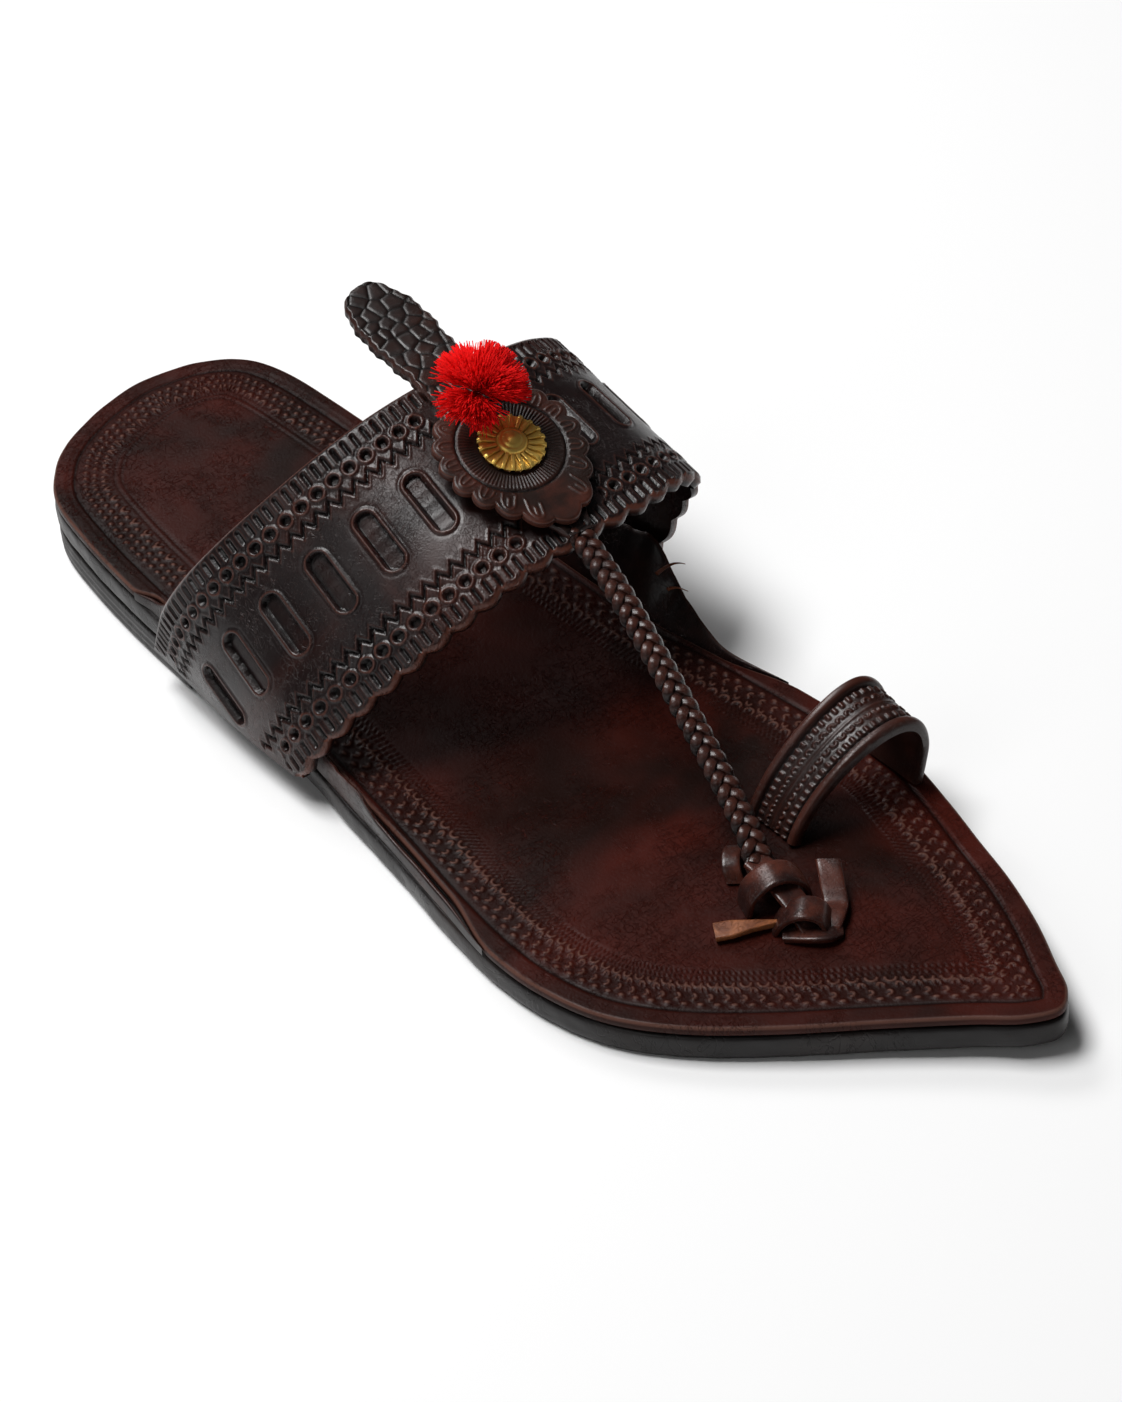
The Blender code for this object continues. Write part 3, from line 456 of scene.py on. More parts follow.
def border_field(run, depth, along):
    """Distance in mm from the nearest raised stamp of the insole's margin, below zero on a stamp."""
    fore = ease(along, 52 * MM, 84 * MM)
    wander = 0.12 * np.sin(run / 9.0) + 0.08 * np.sin(run / 3.7 + 1.0)
    arch_row = arch_field(repeat(run, STAMP_PITCH), STAMP_ROWS[3] - depth + wander + 0.2, 1.05, 0.26)
    tick = repeat(run, STAMP_PITCH, 0.5)
    tick_up = depth - STAMP_ROWS[2]
    tick_row = arch_field(tick * 1.2 + 0.3 * tick_up, tick_up + wander, 0.75, 0.27)
    comma = repeat(run, STAMP_PITCH, 0.08)
    comma_row = arch_field(depth - STAMP_ROWS[1] + wander, comma, 0.62, 0.27)
    dash = repeat(run, STAMP_PITCH, 0.55)
    dash_row = np.hypot(dash * 0.62, depth - STAMP_ROWS[0]) - 0.42
    fore_field = np.minimum(np.minimum(arch_row, tick_row), np.minimum(comma_row, dash_row))
    heel_field = np.full(len(run), 9.0)
    for number, row in enumerate((7.4, 9.4, 11.4)):
        dot = repeat(run, 2.75, 0.5 * number)
        heel_field = np.minimum(heel_field, np.hypot(dot * 0.85, depth - row + wander) - 0.46)
    heel_field = np.minimum(heel_field, arch_field(repeat(run, 5.5), 12.6 - depth + wander, 0.95, 0.22))
    return np.where(fore > 0.5, fore_field, heel_field)


def border_relief(run, depth, along):
    """Height of the stamped margin in mm, and its tone: rubbed dye with painted highlight on the stamps and
    beads, ink with painted shade in the grooves.
    """
    fore = ease(along, 40 * MM, 80 * MM)
    field = border_field(run, depth, along)
    zone = ease(depth, GROOVE_DEPTH_IN, GROOVE_DEPTH_IN + 0.6) * (1 - ease(depth, 13.0, 13.7))
    stamp = zone * (1 - ease(field, -0.20, 0.34))
    height = 0.36 * stamp - 0.16 * zone
    # Stamps lightened, grooves and the ground between stamps darkened: partly rubbed dye and ink, partly
    # painted highlight and painted shade.
    tone = 1.15 * stamp - 0.35 * zone
    grooves = [(GROOVE_DEPTH_IN, 0.40, 0.42), (GROOVE_DEPTH_IN - 1.0, 0.34, 0.20 * (1 - fore))]
    for place, half, size in grooves:
        line = np.exp(-((depth - place) / half) ** 2)
        height = height - size * line
        tone = tone - 1.6 * size * line
    for number, place in enumerate(BEADED_LINES):
        groove = np.exp(-((depth - place) / 0.55) ** 2)
        bead = np.exp(-((depth - place) / 0.34) ** 2) * (0.5 + 0.5 * np.cos(2 * math.pi * run / BEAD_PITCH))
        height = height - 0.26 * groove + (0.12 + 0.26 * fore) * bead
        tone = tone - 0.5 * groove + (0.2 + 0.6 * fore) * bead
    return height, tone


edge_room = ear_recess(EDGE[:, 1], EDGE_LATERAL)
insole_rings = []
for depth, base, rise in ((0.9, outsole_top, 0.0), (0.35, outsole_top, 0.5), (0.3, outsole_top, 1.1),
                          (0.3, outsole_top, 1.6)):
    ring = inset_ring(depth * MM + edge_room)
    insole_rings.append(np.column_stack([ring, base(ring[:, 1]) + LAYER_GAP + rise * MM]))
rim = insole_rings[-1]
EDGE_ROUND = 0.8
shoulder_steps = (0.12, 0.3, 0.55, 0.85, 1.2)
margin_rows = (1.8, 2.5, 3.2, 3.9)
stamp_rows = np.arange(4.3, BORDER_END / MM, 0.37)
insole_flat, insole_run, insole_drop = [], [], []
for step in shoulder_steps:
    insole_flat.append(inset_ring(0.3 * MM + edge_room + step * MM))
    insole_run.append(EDGE_RUN / MM)
    left = 1 - min(step / EDGE_ROUND, 1.0)
    insole_drop.append(np.full(EDGE_COLUMNS, EDGE_ROUND * (1 - math.sqrt(1 - left * left))))
for depth in (*margin_rows, *stamp_rows):
    moved = EDGE + INWARD * depth * MM
    kept = depth * MM > 0.3 * MM + edge_room + (shoulder_steps[-1] + 0.3) * MM
    moved, run = moved[kept], EDGE_RUN[kept] / MM
    true = depth_from_edge(moved) > (depth - 0.04) * MM
    insole_flat.append(moved[true])
    insole_run.append(run[true])
    insole_drop.append(np.zeros(true.sum()))
bed = fill_points(rim[:, :2], 2.0 * MM, BORDER_END + 0.6 * MM)
insole_flat.append(bed)
insole_run.append(np.zeros(len(bed)))
insole_drop.append(np.zeros(len(bed)))
insole_flat = np.vstack(insole_flat)
insole_run = np.concatenate(insole_run)
insole_drop = np.concatenate(insole_drop)
_, top_faces = fill_flat(rim[:, :2], insole_flat)
insole_depth = depth_from_edge(insole_flat) / MM
height, tone = border_relief(insole_run, insole_depth, insole_flat[:, 1])
dips = (
    # Where the heel, the ball and the big toe press: across, along, reach (mm), depth (mm)
    (0.0, -6.0, 24.0, 0.25),
    (-2.0, 120.0, 34.0, 0.22),
    (-30.0, 178.0, 16.0, 0.18),
)
for across, along, reach, depth in dips:
    away = np.hypot(insole_flat[:, 0] / MM - across, insole_flat[:, 1] / MM - along)
    height = height - depth * np.exp(-(away / reach) ** 2) * (insole_depth > 16.2)
insole_up = insole_top(insole_flat[:, 1]) + (height - insole_drop) * MM
insole_points = insole_rings + [np.column_stack([insole_flat, insole_up])]
first_rim = 3 * EDGE_COLUMNS
insole_faces = ring_faces(4, EDGE_COLUMNS)
insole_faces += [tuple(first_rim + corner for corner in face) for face in top_faces]
# Painted highlight: a light line along the insole's rounded top edge, and its side rings made a little
# lighter too.
painted_edge_highlight = np.exp(-((insole_drop - 0.3) / 0.3) ** 2) * (insole_drop > 0.02)
insole_tone = [np.full(4 * EDGE_COLUMNS, 0.25), tone + painted_edge_highlight]
insole_faces += cap_faces(insole_rings[0], 0, 4 * MM, 3 * MM,
                          lambda along: outsole_top(along) + LAYER_GAP, insole_points)
insole_tone.append(np.zeros(len(insole_points[-1])))
insole_leather = leather("insole_oxblood", OXBLOOD_DEEP, OXBLOOD_WORN, 1.5 * MM, 0.20 * MM, 0.42,
                         blotch=16.0, scratch=0.60, stamped=True, coat=0.02, worn_share=0.8,
                         rubbed_and_highlight_colour=(0.105, 0.048, 0.036), sheen=0.08)
insole_piece = add_piece("insole_bed", np.vstack(insole_points), insole_faces, insole_leather,
                         {"tone": np.concatenate(insole_tone)}, sharp=70)
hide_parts("insole")

# Instep band: thick vegetable-tanned hide, punched and stamped flat, dyed almost black, then bent
# over the last and stitched down at both ends. Rows, one for each slot: rear edge, then front edge,
# each across (of HALF_BALL), along (of INSTEP_REACH) and height (of INSTEP_HEIGHT).
INSTEP_REACH = 100 * MM
INSTEP_HEIGHT = 70 * MM
BAND_FIRST = -2
BAND_EDGES = (
    (0.790, 0.335, 0.086, 0.812, 0.735, -0.271),
    (0.808, 0.385, 0.229, 0.822, 0.805, -0.117),
    (0.818, 0.444, 0.379, 0.828, 0.872, 0.040),
    (0.752, 0.503, 0.521, 0.786, 0.933, 0.194),
    (0.612, 0.555, 0.647, 0.634, 0.986, 0.331),
    (0.426, 0.597, 0.756, 0.440, 1.031, 0.449),
    (0.218, 0.629, 0.846, 0.230, 1.068, 0.550),
    (-0.006, 0.651, 0.909, 0.004, 1.095, 0.630),
    (-0.240, 0.660, 0.936, -0.236, 1.110, 0.679),
    (-0.474, 0.657, 0.931, -0.492, 1.114, 0.690),
    (-0.704, 0.643, 0.899, -0.748, 1.104, 0.677),
    (-0.922, 0.617, 0.841, -0.984, 1.065, 0.634),
    (-1.090, 0.582, 0.743, -1.154, 1.010, 0.519),
    (-1.134, 0.540, 0.586, -1.126, 0.965, 0.379),
    (-1.066, 0.500, 0.424, -1.020, 0.930, 0.214),
    (-0.950, 0.460, 0.286, -0.918, 0.900, 0.071),
    (-0.806, 0.425, 0.164, -0.800, 0.870, -0.070),
    (-0.660, 0.390, 0.050, -0.680, 0.840, -0.200),
)
LATERAL_CUT = (-1.62, 0.42)
MEDIAL_CUT = (14.10, 12.70)
BAND_WIDTH = 50 * MM
BAND_WALL = 2.8 * MM
PIT_DEPTH = 1.3
SLOT_PITCH = 12.3
SLOT_LENGTH = 15.0
SLOT_HALF_WIDTH = 2.2
SLOT_MIDDLE = 24.0
HOLE_RADIUS = 1.15
HOLE_PITCH = 4.1
HOLE_INSET = 7.0
SCALLOP_PITCH = 6.4
SCALLOP_RISE = 1.3
SCALLOPS = round((MEDIAL_CUT[1] - LATERAL_CUT[1]) * SLOT_PITCH / SCALLOP_PITCH)
LADDER_PITCH = 2.5
LADDER_MIDDLE = 3.0
LADDER_HALF_LENGTH = 1.35
ZIGZAG_PITCH = 3.28
ZIGZAG_MIDDLE = 11.0
ZIGZAG_RISE = 1.25
STRAP_PITCH = 6.6
BAND_STEP = 0.345
BAND_DEEP = (0.009, 0.005, 0.005)
BAND_WORN = (0.036, 0.010, 0.007)
BAND_TABLE = np.array(BAND_EDGES) * np.array([HALF_BALL, INSTEP_REACH, INSTEP_HEIGHT] * 2)


def band_middle(pitch, share):
    row = smooth_rows(BAND_TABLE, pitch - BAND_FIRST)
    return row[:, :3] * (1 - share[:, None]) + row[:, 3:] * share[:, None]


def bend_band(run, width, lift):
    """Flat places on the band (mm along it, mm from its rear edge) once it is bent over the last."""
    pitch = run / SLOT_PITCH
    share = width * MM / BAND_WIDTH
    step = 0.02
    along = band_middle(pitch + step, share) - band_middle(pitch - step, share)
    across = band_middle(pitch, share + step) - band_middle(pitch, share - step)
    normal = np.cross(across, along)
    normal /= np.linalg.norm(normal, axis=1)[:, None]
    return band_middle(pitch, share) + normal * (lift * MM)[:, None]


def scallop(run):
    return SCALLOP_RISE * (np.abs(np.sin(math.pi * run / SCALLOP_PITCH)) - 0.6)


def end_runs(width):
    """Where the two cut ends lie at a given width."""
    share = width * MM / BAND_WIDTH
    low = LATERAL_CUT[0] + (LATERAL_CUT[1] - LATERAL_CUT[0]) * share
    high = MEDIAL_CUT[0] + (MEDIAL_CUT[1] - MEDIAL_CUT[0]) * share
    return low * SLOT_PITCH, high * SLOT_PITCH


def band_outline(step):
    """Rear edge, medial end, scalloped front edge, lateral end, in even small steps."""
    full = BAND_WIDTH / MM
    rear = np.arange(LATERAL_CUT[0] * SLOT_PITCH, MEDIAL_CUT[0] * SLOT_PITCH, step)
    rear = np.stack([rear, np.zeros(len(rear))], 1)
    rise = np.arange(0, full, step)
    medial = np.stack([end_runs(rise)[1], rise], 1)
    count = int(SCALLOPS * SCALLOP_PITCH / step)
    front = np.linspace(MEDIAL_CUT[1] * SLOT_PITCH, LATERAL_CUT[1] * SLOT_PITCH, count)
    share = np.linspace(0.0, SCALLOPS * SCALLOP_PITCH, count)
    front = np.stack([front, full + scallop(share)], 1)[:-1]
    fall = np.arange(full, 0, -step)
    lateral = np.stack([end_runs(fall)[0], fall], 1)
    return np.vstack([rear, medial, front, lateral])


def slot_runs():
    numbers = [n for n in range(-1, 14) if abs(n - STRAP_PITCH) * SLOT_PITCH >= 10.5]
    low, high = end_runs(SLOT_MIDDLE)
    return [n * SLOT_PITCH for n in numbers if low + 6 < n * SLOT_PITCH < high - 6]


def pit_field(run, width):
    """Distance from the nearest slot or hole outline, in mm: below zero inside."""
    field = np.full(len(run), 9.0)
    straight = SLOT_LENGTH / 2 - SLOT_HALF_WIDTH
    for middle in slot_runs():
        past = np.maximum(np.abs(width - SLOT_MIDDLE) - straight, 0.0)
        field = np.minimum(field, np.hypot(run - middle, past) - SLOT_HALF_WIDTH)
    for row in (HOLE_INSET, BAND_WIDTH / MM - HOLE_INSET):
        low, high = end_runs(row)
        free = (run > low + 3.5) & (run < high - 3.5) & (np.abs(run - STRAP_PITCH * SLOT_PITCH) > 9.5)
        hole = np.hypot(repeat(run, HOLE_PITCH), width - row) - HOLE_RADIUS
        field = np.where(free, np.minimum(field, hole), field)
    return field


def stamp_field(run, width):
    """Distance from the nearest stamped groove of the two borders, below zero inside a groove."""
    low, high = end_runs(width)
    inner = np.minimum(run - low, high - run)
    ladder_bars, zigzags = [], []
    for edge in (width, BAND_WIDTH / MM - width):
        past = np.maximum(np.abs(edge - LADDER_MIDDLE) - LADDER_HALF_LENGTH, 0.0)
        ladder_bars.append(np.hypot(repeat(run, LADDER_PITCH), past) - 0.42)
        swing = ZIGZAG_RISE * (4 * np.abs(repeat(run, ZIGZAG_PITCH)) / ZIGZAG_PITCH - 1)
        slope = 4 * ZIGZAG_RISE / ZIGZAG_PITCH
        zigzags.append(np.abs(edge - ZIGZAG_MIDDLE - swing) / math.hypot(1, slope) * 1.0 - 0.30)
    field = np.minimum(np.minimum(*ladder_bars), np.minimum(*zigzags))
    return np.where(inner > 1.5, field, 9.0)


def snap_to_pits(run, width):
    """Moves net points that lie beside a slot's or hole's outline onto it, so that it is cut clean."""
    small = 0.01
    field = pit_field(run, width)
    slope_run = (pit_field(run + small, width) - pit_field(run - small, width)) / (2 * small)
    slope_width = (pit_field(run, width + small) - pit_field(run, width - small)) / (2 * small)
    near = np.abs(field) < 0.55 * BAND_STEP
    return (np.where(near, run - field * slope_run, run),
            np.where(near, width - field * slope_width, width))


def band_relief(run, width, front):
    """Height of the stamped band in mm above its plain face, and its tone: rubbed dye with painted highlight
    on rims, lips and edges, ink with painted shade in grooves and slots.
    """
    pits = pit_field(run, width)
    stamps = stamp_field(run, width)
    inside = pits < -0.05
    rim = np.exp(-((pits - 0.42) / 0.30) ** 2)
    ditch = np.exp(-((pits - 1.15) / 0.30) ** 2)
    groove = 1 - ease(stamps, -0.28, 0.16)
    lip = np.exp(-((stamps - 0.36) / 0.22) ** 2) * (pits > 0.4)
    height = 0.30 * rim - 0.10 * ditch - 0.62 * groove * (pits > 0.2) + 0.14 * lip
    # Rims and lips lightened, ditches and grooves darkened: partly rubbed dye and ink, partly painted
    # highlight and painted shade.
    tone = 0.55 * rim - 0.3 * ditch - 1.0 * groove + 0.40 * lip
    crease = repeat(width - SLOT_MIDDLE, 3.1)
    lining = -PIT_DEPTH + 0.02 * np.cos(np.clip(crease, -1, 1) * math.pi) * (np.abs(width - SLOT_MIDDLE) < 8)
    height = np.where(inside, lining, height)
    # Painted shade inside each slot, darkest close to its walls.
    tone = np.where(inside, 0.12 - 0.9 * ease(-pits, 1.3, 0.2), tone)
    outer = np.minimum(width, front - width)
    height = height - 0.55 * (1 - ease(outer, 0.0, 0.75))
    lip_zone = 1 - ease(front - width, 0.7, 1.1)
    height = height - 0.35 * lip_zone
    # Lighter along the front lip and the rear edge: partly rubbing, partly painted highlight.
    tone = tone + 0.9 * lip_zone + 0.6 * (1 - ease(width, 0.1, 0.5))
    return height, tone


outline = band_outline(BAND_STEP)
net_run, net_width = np.meshgrid(
    np.arange(LATERAL_CUT[0] * SLOT_PITCH, MEDIAL_CUT[0] * SLOT_PITCH, BAND_STEP),
    np.arange(0.25, BAND_WIDTH / MM + 1, BAND_STEP))
net_run, net_width = snap_to_pits(net_run.ravel(), net_width.ravel())
low, high = end_runs(net_width)
stretch = SCALLOPS * SCALLOP_PITCH / ((MEDIAL_CUT[1] - LATERAL_CUT[1]) * SLOT_PITCH)


def front_edge(run):
    return BAND_WIDTH / MM + scallop((MEDIAL_CUT[1] * SLOT_PITCH - run) * stretch)


kept = (net_run > low + 0.25) & (net_run < high - 0.25)
kept &= (net_width > 0.2) & (net_width < front_edge(net_run) - 0.2)
net = np.stack([net_run[kept], net_width[kept]], 1)
flat_points, face_up = fill_flat(outline * MM, net * MM)
flat_points = flat_points / MM
height, tone = band_relief(flat_points[:, 0], flat_points[:, 1], front_edge(flat_points[:, 0]))
half = BAND_WALL / MM / 2
band_up = bend_band(flat_points[:, 0], flat_points[:, 1], half + height)
coarse_run, coarse_width = np.meshgrid(np.arange(-19, 172, 3.0), np.arange(2.5, 49, 3.0))
coarse_run, coarse_width = coarse_run.ravel(), coarse_width.ravel()
low, high = end_runs(coarse_width)
kept = (coarse_run > low + 1.5) & (coarse_run < high - 1.5)
back_net = np.stack([coarse_run[kept], coarse_width[kept]], 1)
back_points, face_down = fill_flat(outline * MM, back_net * MM)
back_points = back_points / MM
band_down = bend_band(back_points[:, 0], back_points[:, 1], np.full(len(back_points), -half))
count, around = len(band_up), len(outline)
band_faces = list(face_up)
band_faces += [tuple(count + corner for corner in reversed(face)) for face in face_down]
for corner in range(around):
    after = (corner + 1) % around
    band_faces.append((corner, count + corner, count + after, after))
# The band's underside is made a little darker: painted shade.
band_tones = np.concatenate([tone, np.full(len(band_down), -0.2)])
band_leather = leather("band_hide", BAND_DEEP, BAND_WORN, 1.1 * MM, 0.14 * MM, 0.30, blotch=30.0,
                       scratch=0.4, stamped=True, coat=0.2, worn_share=0.5, rubbed_and_highlight_colour=(0.120, 0.040, 0.026))
band_piece = add_piece("instep_band", np.vstack([band_up, band_down]), band_faces, band_leather,
                       {"tone": band_tones}, sharp=75)
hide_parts("upper")

# Ears: two thin side leathers that stand on the outsole's margin and carry the band's ends. They
# are skived, so their tops are thin and wavy, and glued between the soles. Rows: along (of
# INSTEP_REACH), height and outward lean (of EAR_HEIGHT).
EAR_HEIGHT = 14 * MM
EAR_WALL = 1.8 * MM
EAR_INSET = 0.9 * MM
EAR_ROWS = {
    "ear_lateral": (
        (0.235, 0.15, 0.00),
        (0.310, 0.20, 0.00),
        (0.360, 0.40, 0.00),
        (0.430, 0.68, 0.00),
        (0.560, 0.84, 0.00),
        (0.740, 0.80, 0.00),
        (0.860, 0.50, 0.00),
        (0.920, 0.38, 0.00),
        (0.970, 0.48, 0.05),
        (1.020, 0.57, 0.09),
        (1.080, 0.54, 0.07),
        (1.140, 0.34, 0.06),
        (1.220, 0.20, 0.02),
        (1.300, 0.18, 0.00),
        (1.370, 0.17, 0.00),
        (1.480, 0.16, 0.00),
        (1.560, 0.14, 0.00),
    ),
    "ear_medial": (
        (0.235, 0.15, 0.00),
        (0.310, 0.20, 0.00),
        (0.360, 0.34, 0.06),
        (0.430, 0.56, 0.24),
        (0.560, 0.80, 0.44),
        (0.760, 0.92, 0.50),
        (0.880, 1.02, 0.52),
        (0.950, 1.07, 0.52),
        (1.005, 0.64, 0.48),
        (1.040, 0.45, 0.40),
        (1.080, 0.35, 0.31),
        (1.140, 0.22, 0.18),
        (1.200, 0.18, 0.05),
        (1.290, 0.17, 0.00),
        (1.370, 0.14, 0.00),
    ),
}
EAR_SECTION = ((1.0, 0.0), (0.0, 0.0), (-0.02, 0.25), (0.0, 0.5), (0.02, 0.8), (0.08, 0.93),
               (0.30, 1.0), (0.62, 1.0), (0.90, 0.93), (0.98, 0.8), (1.0, 0.5), (1.02, 0.25))


def side_at(depth, along, lateral):
    """Where an inset line of one side of the sole runs, across the shoe."""
    ring = inset_ring(depth)
    side = ring[EDGE_LATERAL if lateral else ~EDGE_LATERAL]
    side = side[np.argsort(side[:, 1])]
    return np.interp(along, side[:, 1], side[:, 0])


def closed_tube(rings):
    """Points and faces of rings swept into one closed body."""
    count, around = rings.shape[:2]
    faces = ring_faces(count, around)
    faces.append(tuple(range(around)))
    faces.append(tuple(range((count - 1) * around, count * around)))
    return rings.reshape(-1, 3), faces


ear_leather = leather("ear_skin", (0.009, 0.004, 0.004), (0.050, 0.014, 0.009), 1.6 * MM, 0.14 * MM, 0.36,
                      blotch=40.0, scratch=0.3, stamped=True, coat=0.12)
for ear_name, ear_rows in EAR_ROWS.items():
    lateral = ear_name == "ear_lateral"
    outward = 1.0 if lateral else -1.0
    rows = smooth_rows(ear_rows, np.linspace(0, len(ear_rows) - 1, 200))
    along = rows[:, 0] * INSTEP_REACH
    foot = outsole_top(along) + LAYER_GAP
    wave = waves(along, (13.0, 0.22, 0.3), (5.1, 0.12, 1.0), (2.7, 0.05, 0.0))
    rise = rows[:, 1] * EAR_HEIGHT + wave * ease(rows[:, 1], 0.18, 0.45)
    lean = outward * rows[:, 2] * EAR_HEIGHT
    taper = ear_recess(along, np.full(len(along), lateral)) / EAR_MARGIN
    edge = side_at(0.0, along, lateral)
    far = edge + (side_at(EAR_INSET, along, lateral) - edge) * taper
    near = edge + (side_at(EAR_INSET + EAR_WALL, along, lateral) - edge) * taper
    rings = []
    for share, level in EAR_SECTION:
        thin = 1 - 0.45 * level
        middle = 0.5 + (share - 0.5) * thin
        across = far * (1 - middle) + near * middle + lean * level
        rings.append(np.stack([across, along, foot + rise * level], 1))
    points, faces = closed_tube(np.stack(rings, 1))
    # Painted highlight along each ear's top edge.
    ear_tone = np.tile([0.6 if level > 0.95 else 0.0 for _, level in EAR_SECTION], len(rows))
    ear = add_piece(ear_name + "_skin", points, faces, ear_leather, {"tone": ear_tone}, sharp=60)
    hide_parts(ear_name)

# Torn fibres: two thin shreds of the medial ear's edge that stand off where the skiving knife ran
# out, left a lighter red-brown. Rows: place along the shoe (mm), length (mm), half width (mm).
FIBRES = ((98.0, 6.5, 0.60), (101.5, 4.5, 0.45))
fibre_leather = leather("ear_fibre", (0.14, 0.036, 0.016), (0.34, 0.10, 0.04), 0.8 * MM, 0.10 * MM, 0.5)
for number, (start, length, half_width) in enumerate(FIBRES):
    row = np.argmin(np.abs(along - start * MM))
    root = np.stack(rings, 1)[row].mean(0)
    root[2] = foot[row] + 0.80 * rise[row]
    shares = np.linspace(0.0, 1.0, 14)
    away = np.stack([-0.85 * shares, 0.45 * shares, 0.30 * np.sin(shares * 2.4 + number)], 1)
    middle = root + away * length * MM
    shred = []
    for turn in np.linspace(0, 2 * math.pi, 8, endpoint=False):
        slim = 1 - 0.7 * shares
        shred.append(middle + np.stack([0 * shares, math.cos(turn) * half_width * slim * MM,
                                        math.sin(turn) * 0.36 * slim * MM], 1))
    points, faces = closed_tube(np.stack(shred, 1))
    fibre = add_piece(f"ear_fibre_{number + 1}", points, faces, fibre_leather, sharp=60)
    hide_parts("ear_medial")

# Centre strap: one strip of leather that shows a leaf-shaped end behind the band, embossed with a
# scale pattern, passes flat over the band under the rosette, and is slit into three and braided to
# the toe. Rows: across, along, height as shares like the band's, half width, half thickness (of
# STRAP_HALF) and squareness.
STRAP_HALF = 7.8 * MM
STRAP_ROWS = (
    (-0.366, 0.397, 1.070, 0.20, 0.10, 0.8),
    (-0.370, 0.408, 1.064, 0.54, 0.14, 0.6),
    (-0.380, 0.446, 1.046, 0.84, 0.15, 0.5),
    (-0.390, 0.510, 1.018, 1.00, 0.16, 0.5),
    (-0.390, 0.590, 0.988, 0.95, 0.16, 0.5),
    (-0.388, 0.660, 0.968, 0.90, 0.15, 0.5),
    (-0.388, 0.740, 0.924, 0.86, 0.14, 0.5),
    (-0.388, 0.860, 0.858, 0.82, 0.13, 0.5),
    (-0.388, 0.980, 0.792, 0.78, 0.13, 0.5),
    (-0.388, 1.060, 0.743, 0.60, 0.13, 0.6),
    (-0.384, 1.110, 0.708, 0.40, 0.19, 0.9),
    (-0.370, 1.160, 0.684, 0.37, 0.24, 0.9),
    (-0.340, 1.250, 0.640, 0.37, 0.25, 0.9),
    (-0.292, 1.380, 0.552, 0.37, 0.25, 0.9),
    (-0.236, 1.545, 0.412, 0.37, 0.25, 0.9),
    (-0.160, 1.720, 0.276, 0.37, 0.24, 0.9),
    (-0.118, 1.790, 0.208, 0.40, 0.18, 0.7),
    (-0.112, 1.815, 0.184, 0.36, 0.11, 0.5),
    (-0.108, 1.842, 0.166, 0.26, 0.08, 0.5),
)
STRAP_SCALE = np.array([HALF_BALL, INSTEP_REACH, INSTEP_HEIGHT])
BRAID_FIRST = 9.6
BRAID_LAST = 16.2
CHEVRON_PITCH = 3.05 * MM
STRAND_SWING = 1.90 * MM
STRAND_RISE = 0.72 * MM
STRAND_HALF_WIDTH = 1.12 * MM
STRAND_HALF_THICK = 0.78 * MM


def strap_frames(places):
    """Middle line of the centre strap with its directions: forward, across and up."""
    spots = smooth_rows(STRAP_ROWS, places)
    nearby = 0.05
    ahead = smooth_rows(STRAP_ROWS, places + nearby) - smooth_rows(STRAP_ROWS, places - nearby)
    forward = ahead[:, :3] * STRAP_SCALE
    forward /= np.linalg.norm(forward, axis=1)[:, None]
    across = np.array([1.0, 0.0, 0.0]) - forward * forward[:, :1]
    across /= np.linalg.norm(across, axis=1)[:, None]
    return spots[:, :3] * STRAP_SCALE, forward, across, np.cross(across, forward), spots[:, 3:]


def scale_cells(across, along, size, seed):
    """Distance from the lines between loosely laid scales, in the units of the size."""
    draw = np.random.default_rng(seed)
    rows, columns = 22, 12
    seeds = []
    for row in range(rows):
        for column in range(columns):
            shift = 0.5 * (row % 2)
            seeds.append(((column - columns / 2 + shift + draw.uniform(-0.38, 0.38)) * size,
                          (row + draw.uniform(-0.38, 0.38)) * size))
    seeds = np.array(seeds)
    away = np.sort(np.hypot(across[:, None] - seeds[:, 0], along[:, None] - seeds[:, 1]), axis=1)
    return away[:, 1] - away[:, 0]


leaf_places = np.linspace(0.0, 10.0, 260)
spots, forward, across, up, shape = strap_frames(leaf_places)
walked = np.concatenate([[0.0], np.cumsum(np.linalg.norm(np.diff(spots, axis=0), axis=1))])
ragged = 1 + 0.030 * np.sin(walked / MM * 0.9) + 0.022 * np.sin(walked / MM * 2.3 + 1.0)
leaf_section = [(side, True) for side in np.linspace(-1.0, 1.0, 62)]
leaf_section += [(side, False) for side in np.linspace(0.97, -0.97, 14)]
leaf_rings, leaf_tones = [], []
for side, outside in leaf_section:
    sideways = side * shape[:, 0] * STRAP_HALF * ragged
    thick = shape[:, 1] * STRAP_HALF
    if outside:
        lines = scale_cells(sideways / MM, walked / MM, 3.7, 5)
        face = 1 - ease(abs(side), 0.86, 0.97)
        groove = face * (1 - ease(lines, 0.10, 0.70))
        swell = 0.07 * face * ease(lines, 0.3, 1.8)
        lifted = thick * (1 - 0.55 * ease(abs(side), 0.90, 1.0)) + (swell - 0.16 * groove) * MM
        # Tone: grooves between the scales darker, scale middles and cut edges lighter, partly dye and
        # rubbing, partly painted shade and painted highlight.
        leaf_tones.append(-0.9 * groove + 0.30 * face * ease(lines, 1.2, 2.2) + 0.6 * (1 - face))
    else:
        lifted = -thick
        leaf_tones.append(np.zeros(len(walked)))
    leaf_rings.append(spots + across * sideways[:, None] + up * lifted[:, None])
points, faces = closed_tube(np.stack(leaf_rings, 1))
strap_leather = leather("strap_hide", (0.012, 0.006, 0.005), (0.046, 0.014, 0.009), 0.9 * MM, 0.12 * MM, 0.36,
                        blotch=60.0, scratch=0.2, stamped=True, coat=0.3, worn_share=0.6)
leaf = add_piece("centre_strap_leaf", points, faces, strap_leather,
                 {"tone": np.stack(leaf_tones, 1).ravel()}, sharp=60)
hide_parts("upper")

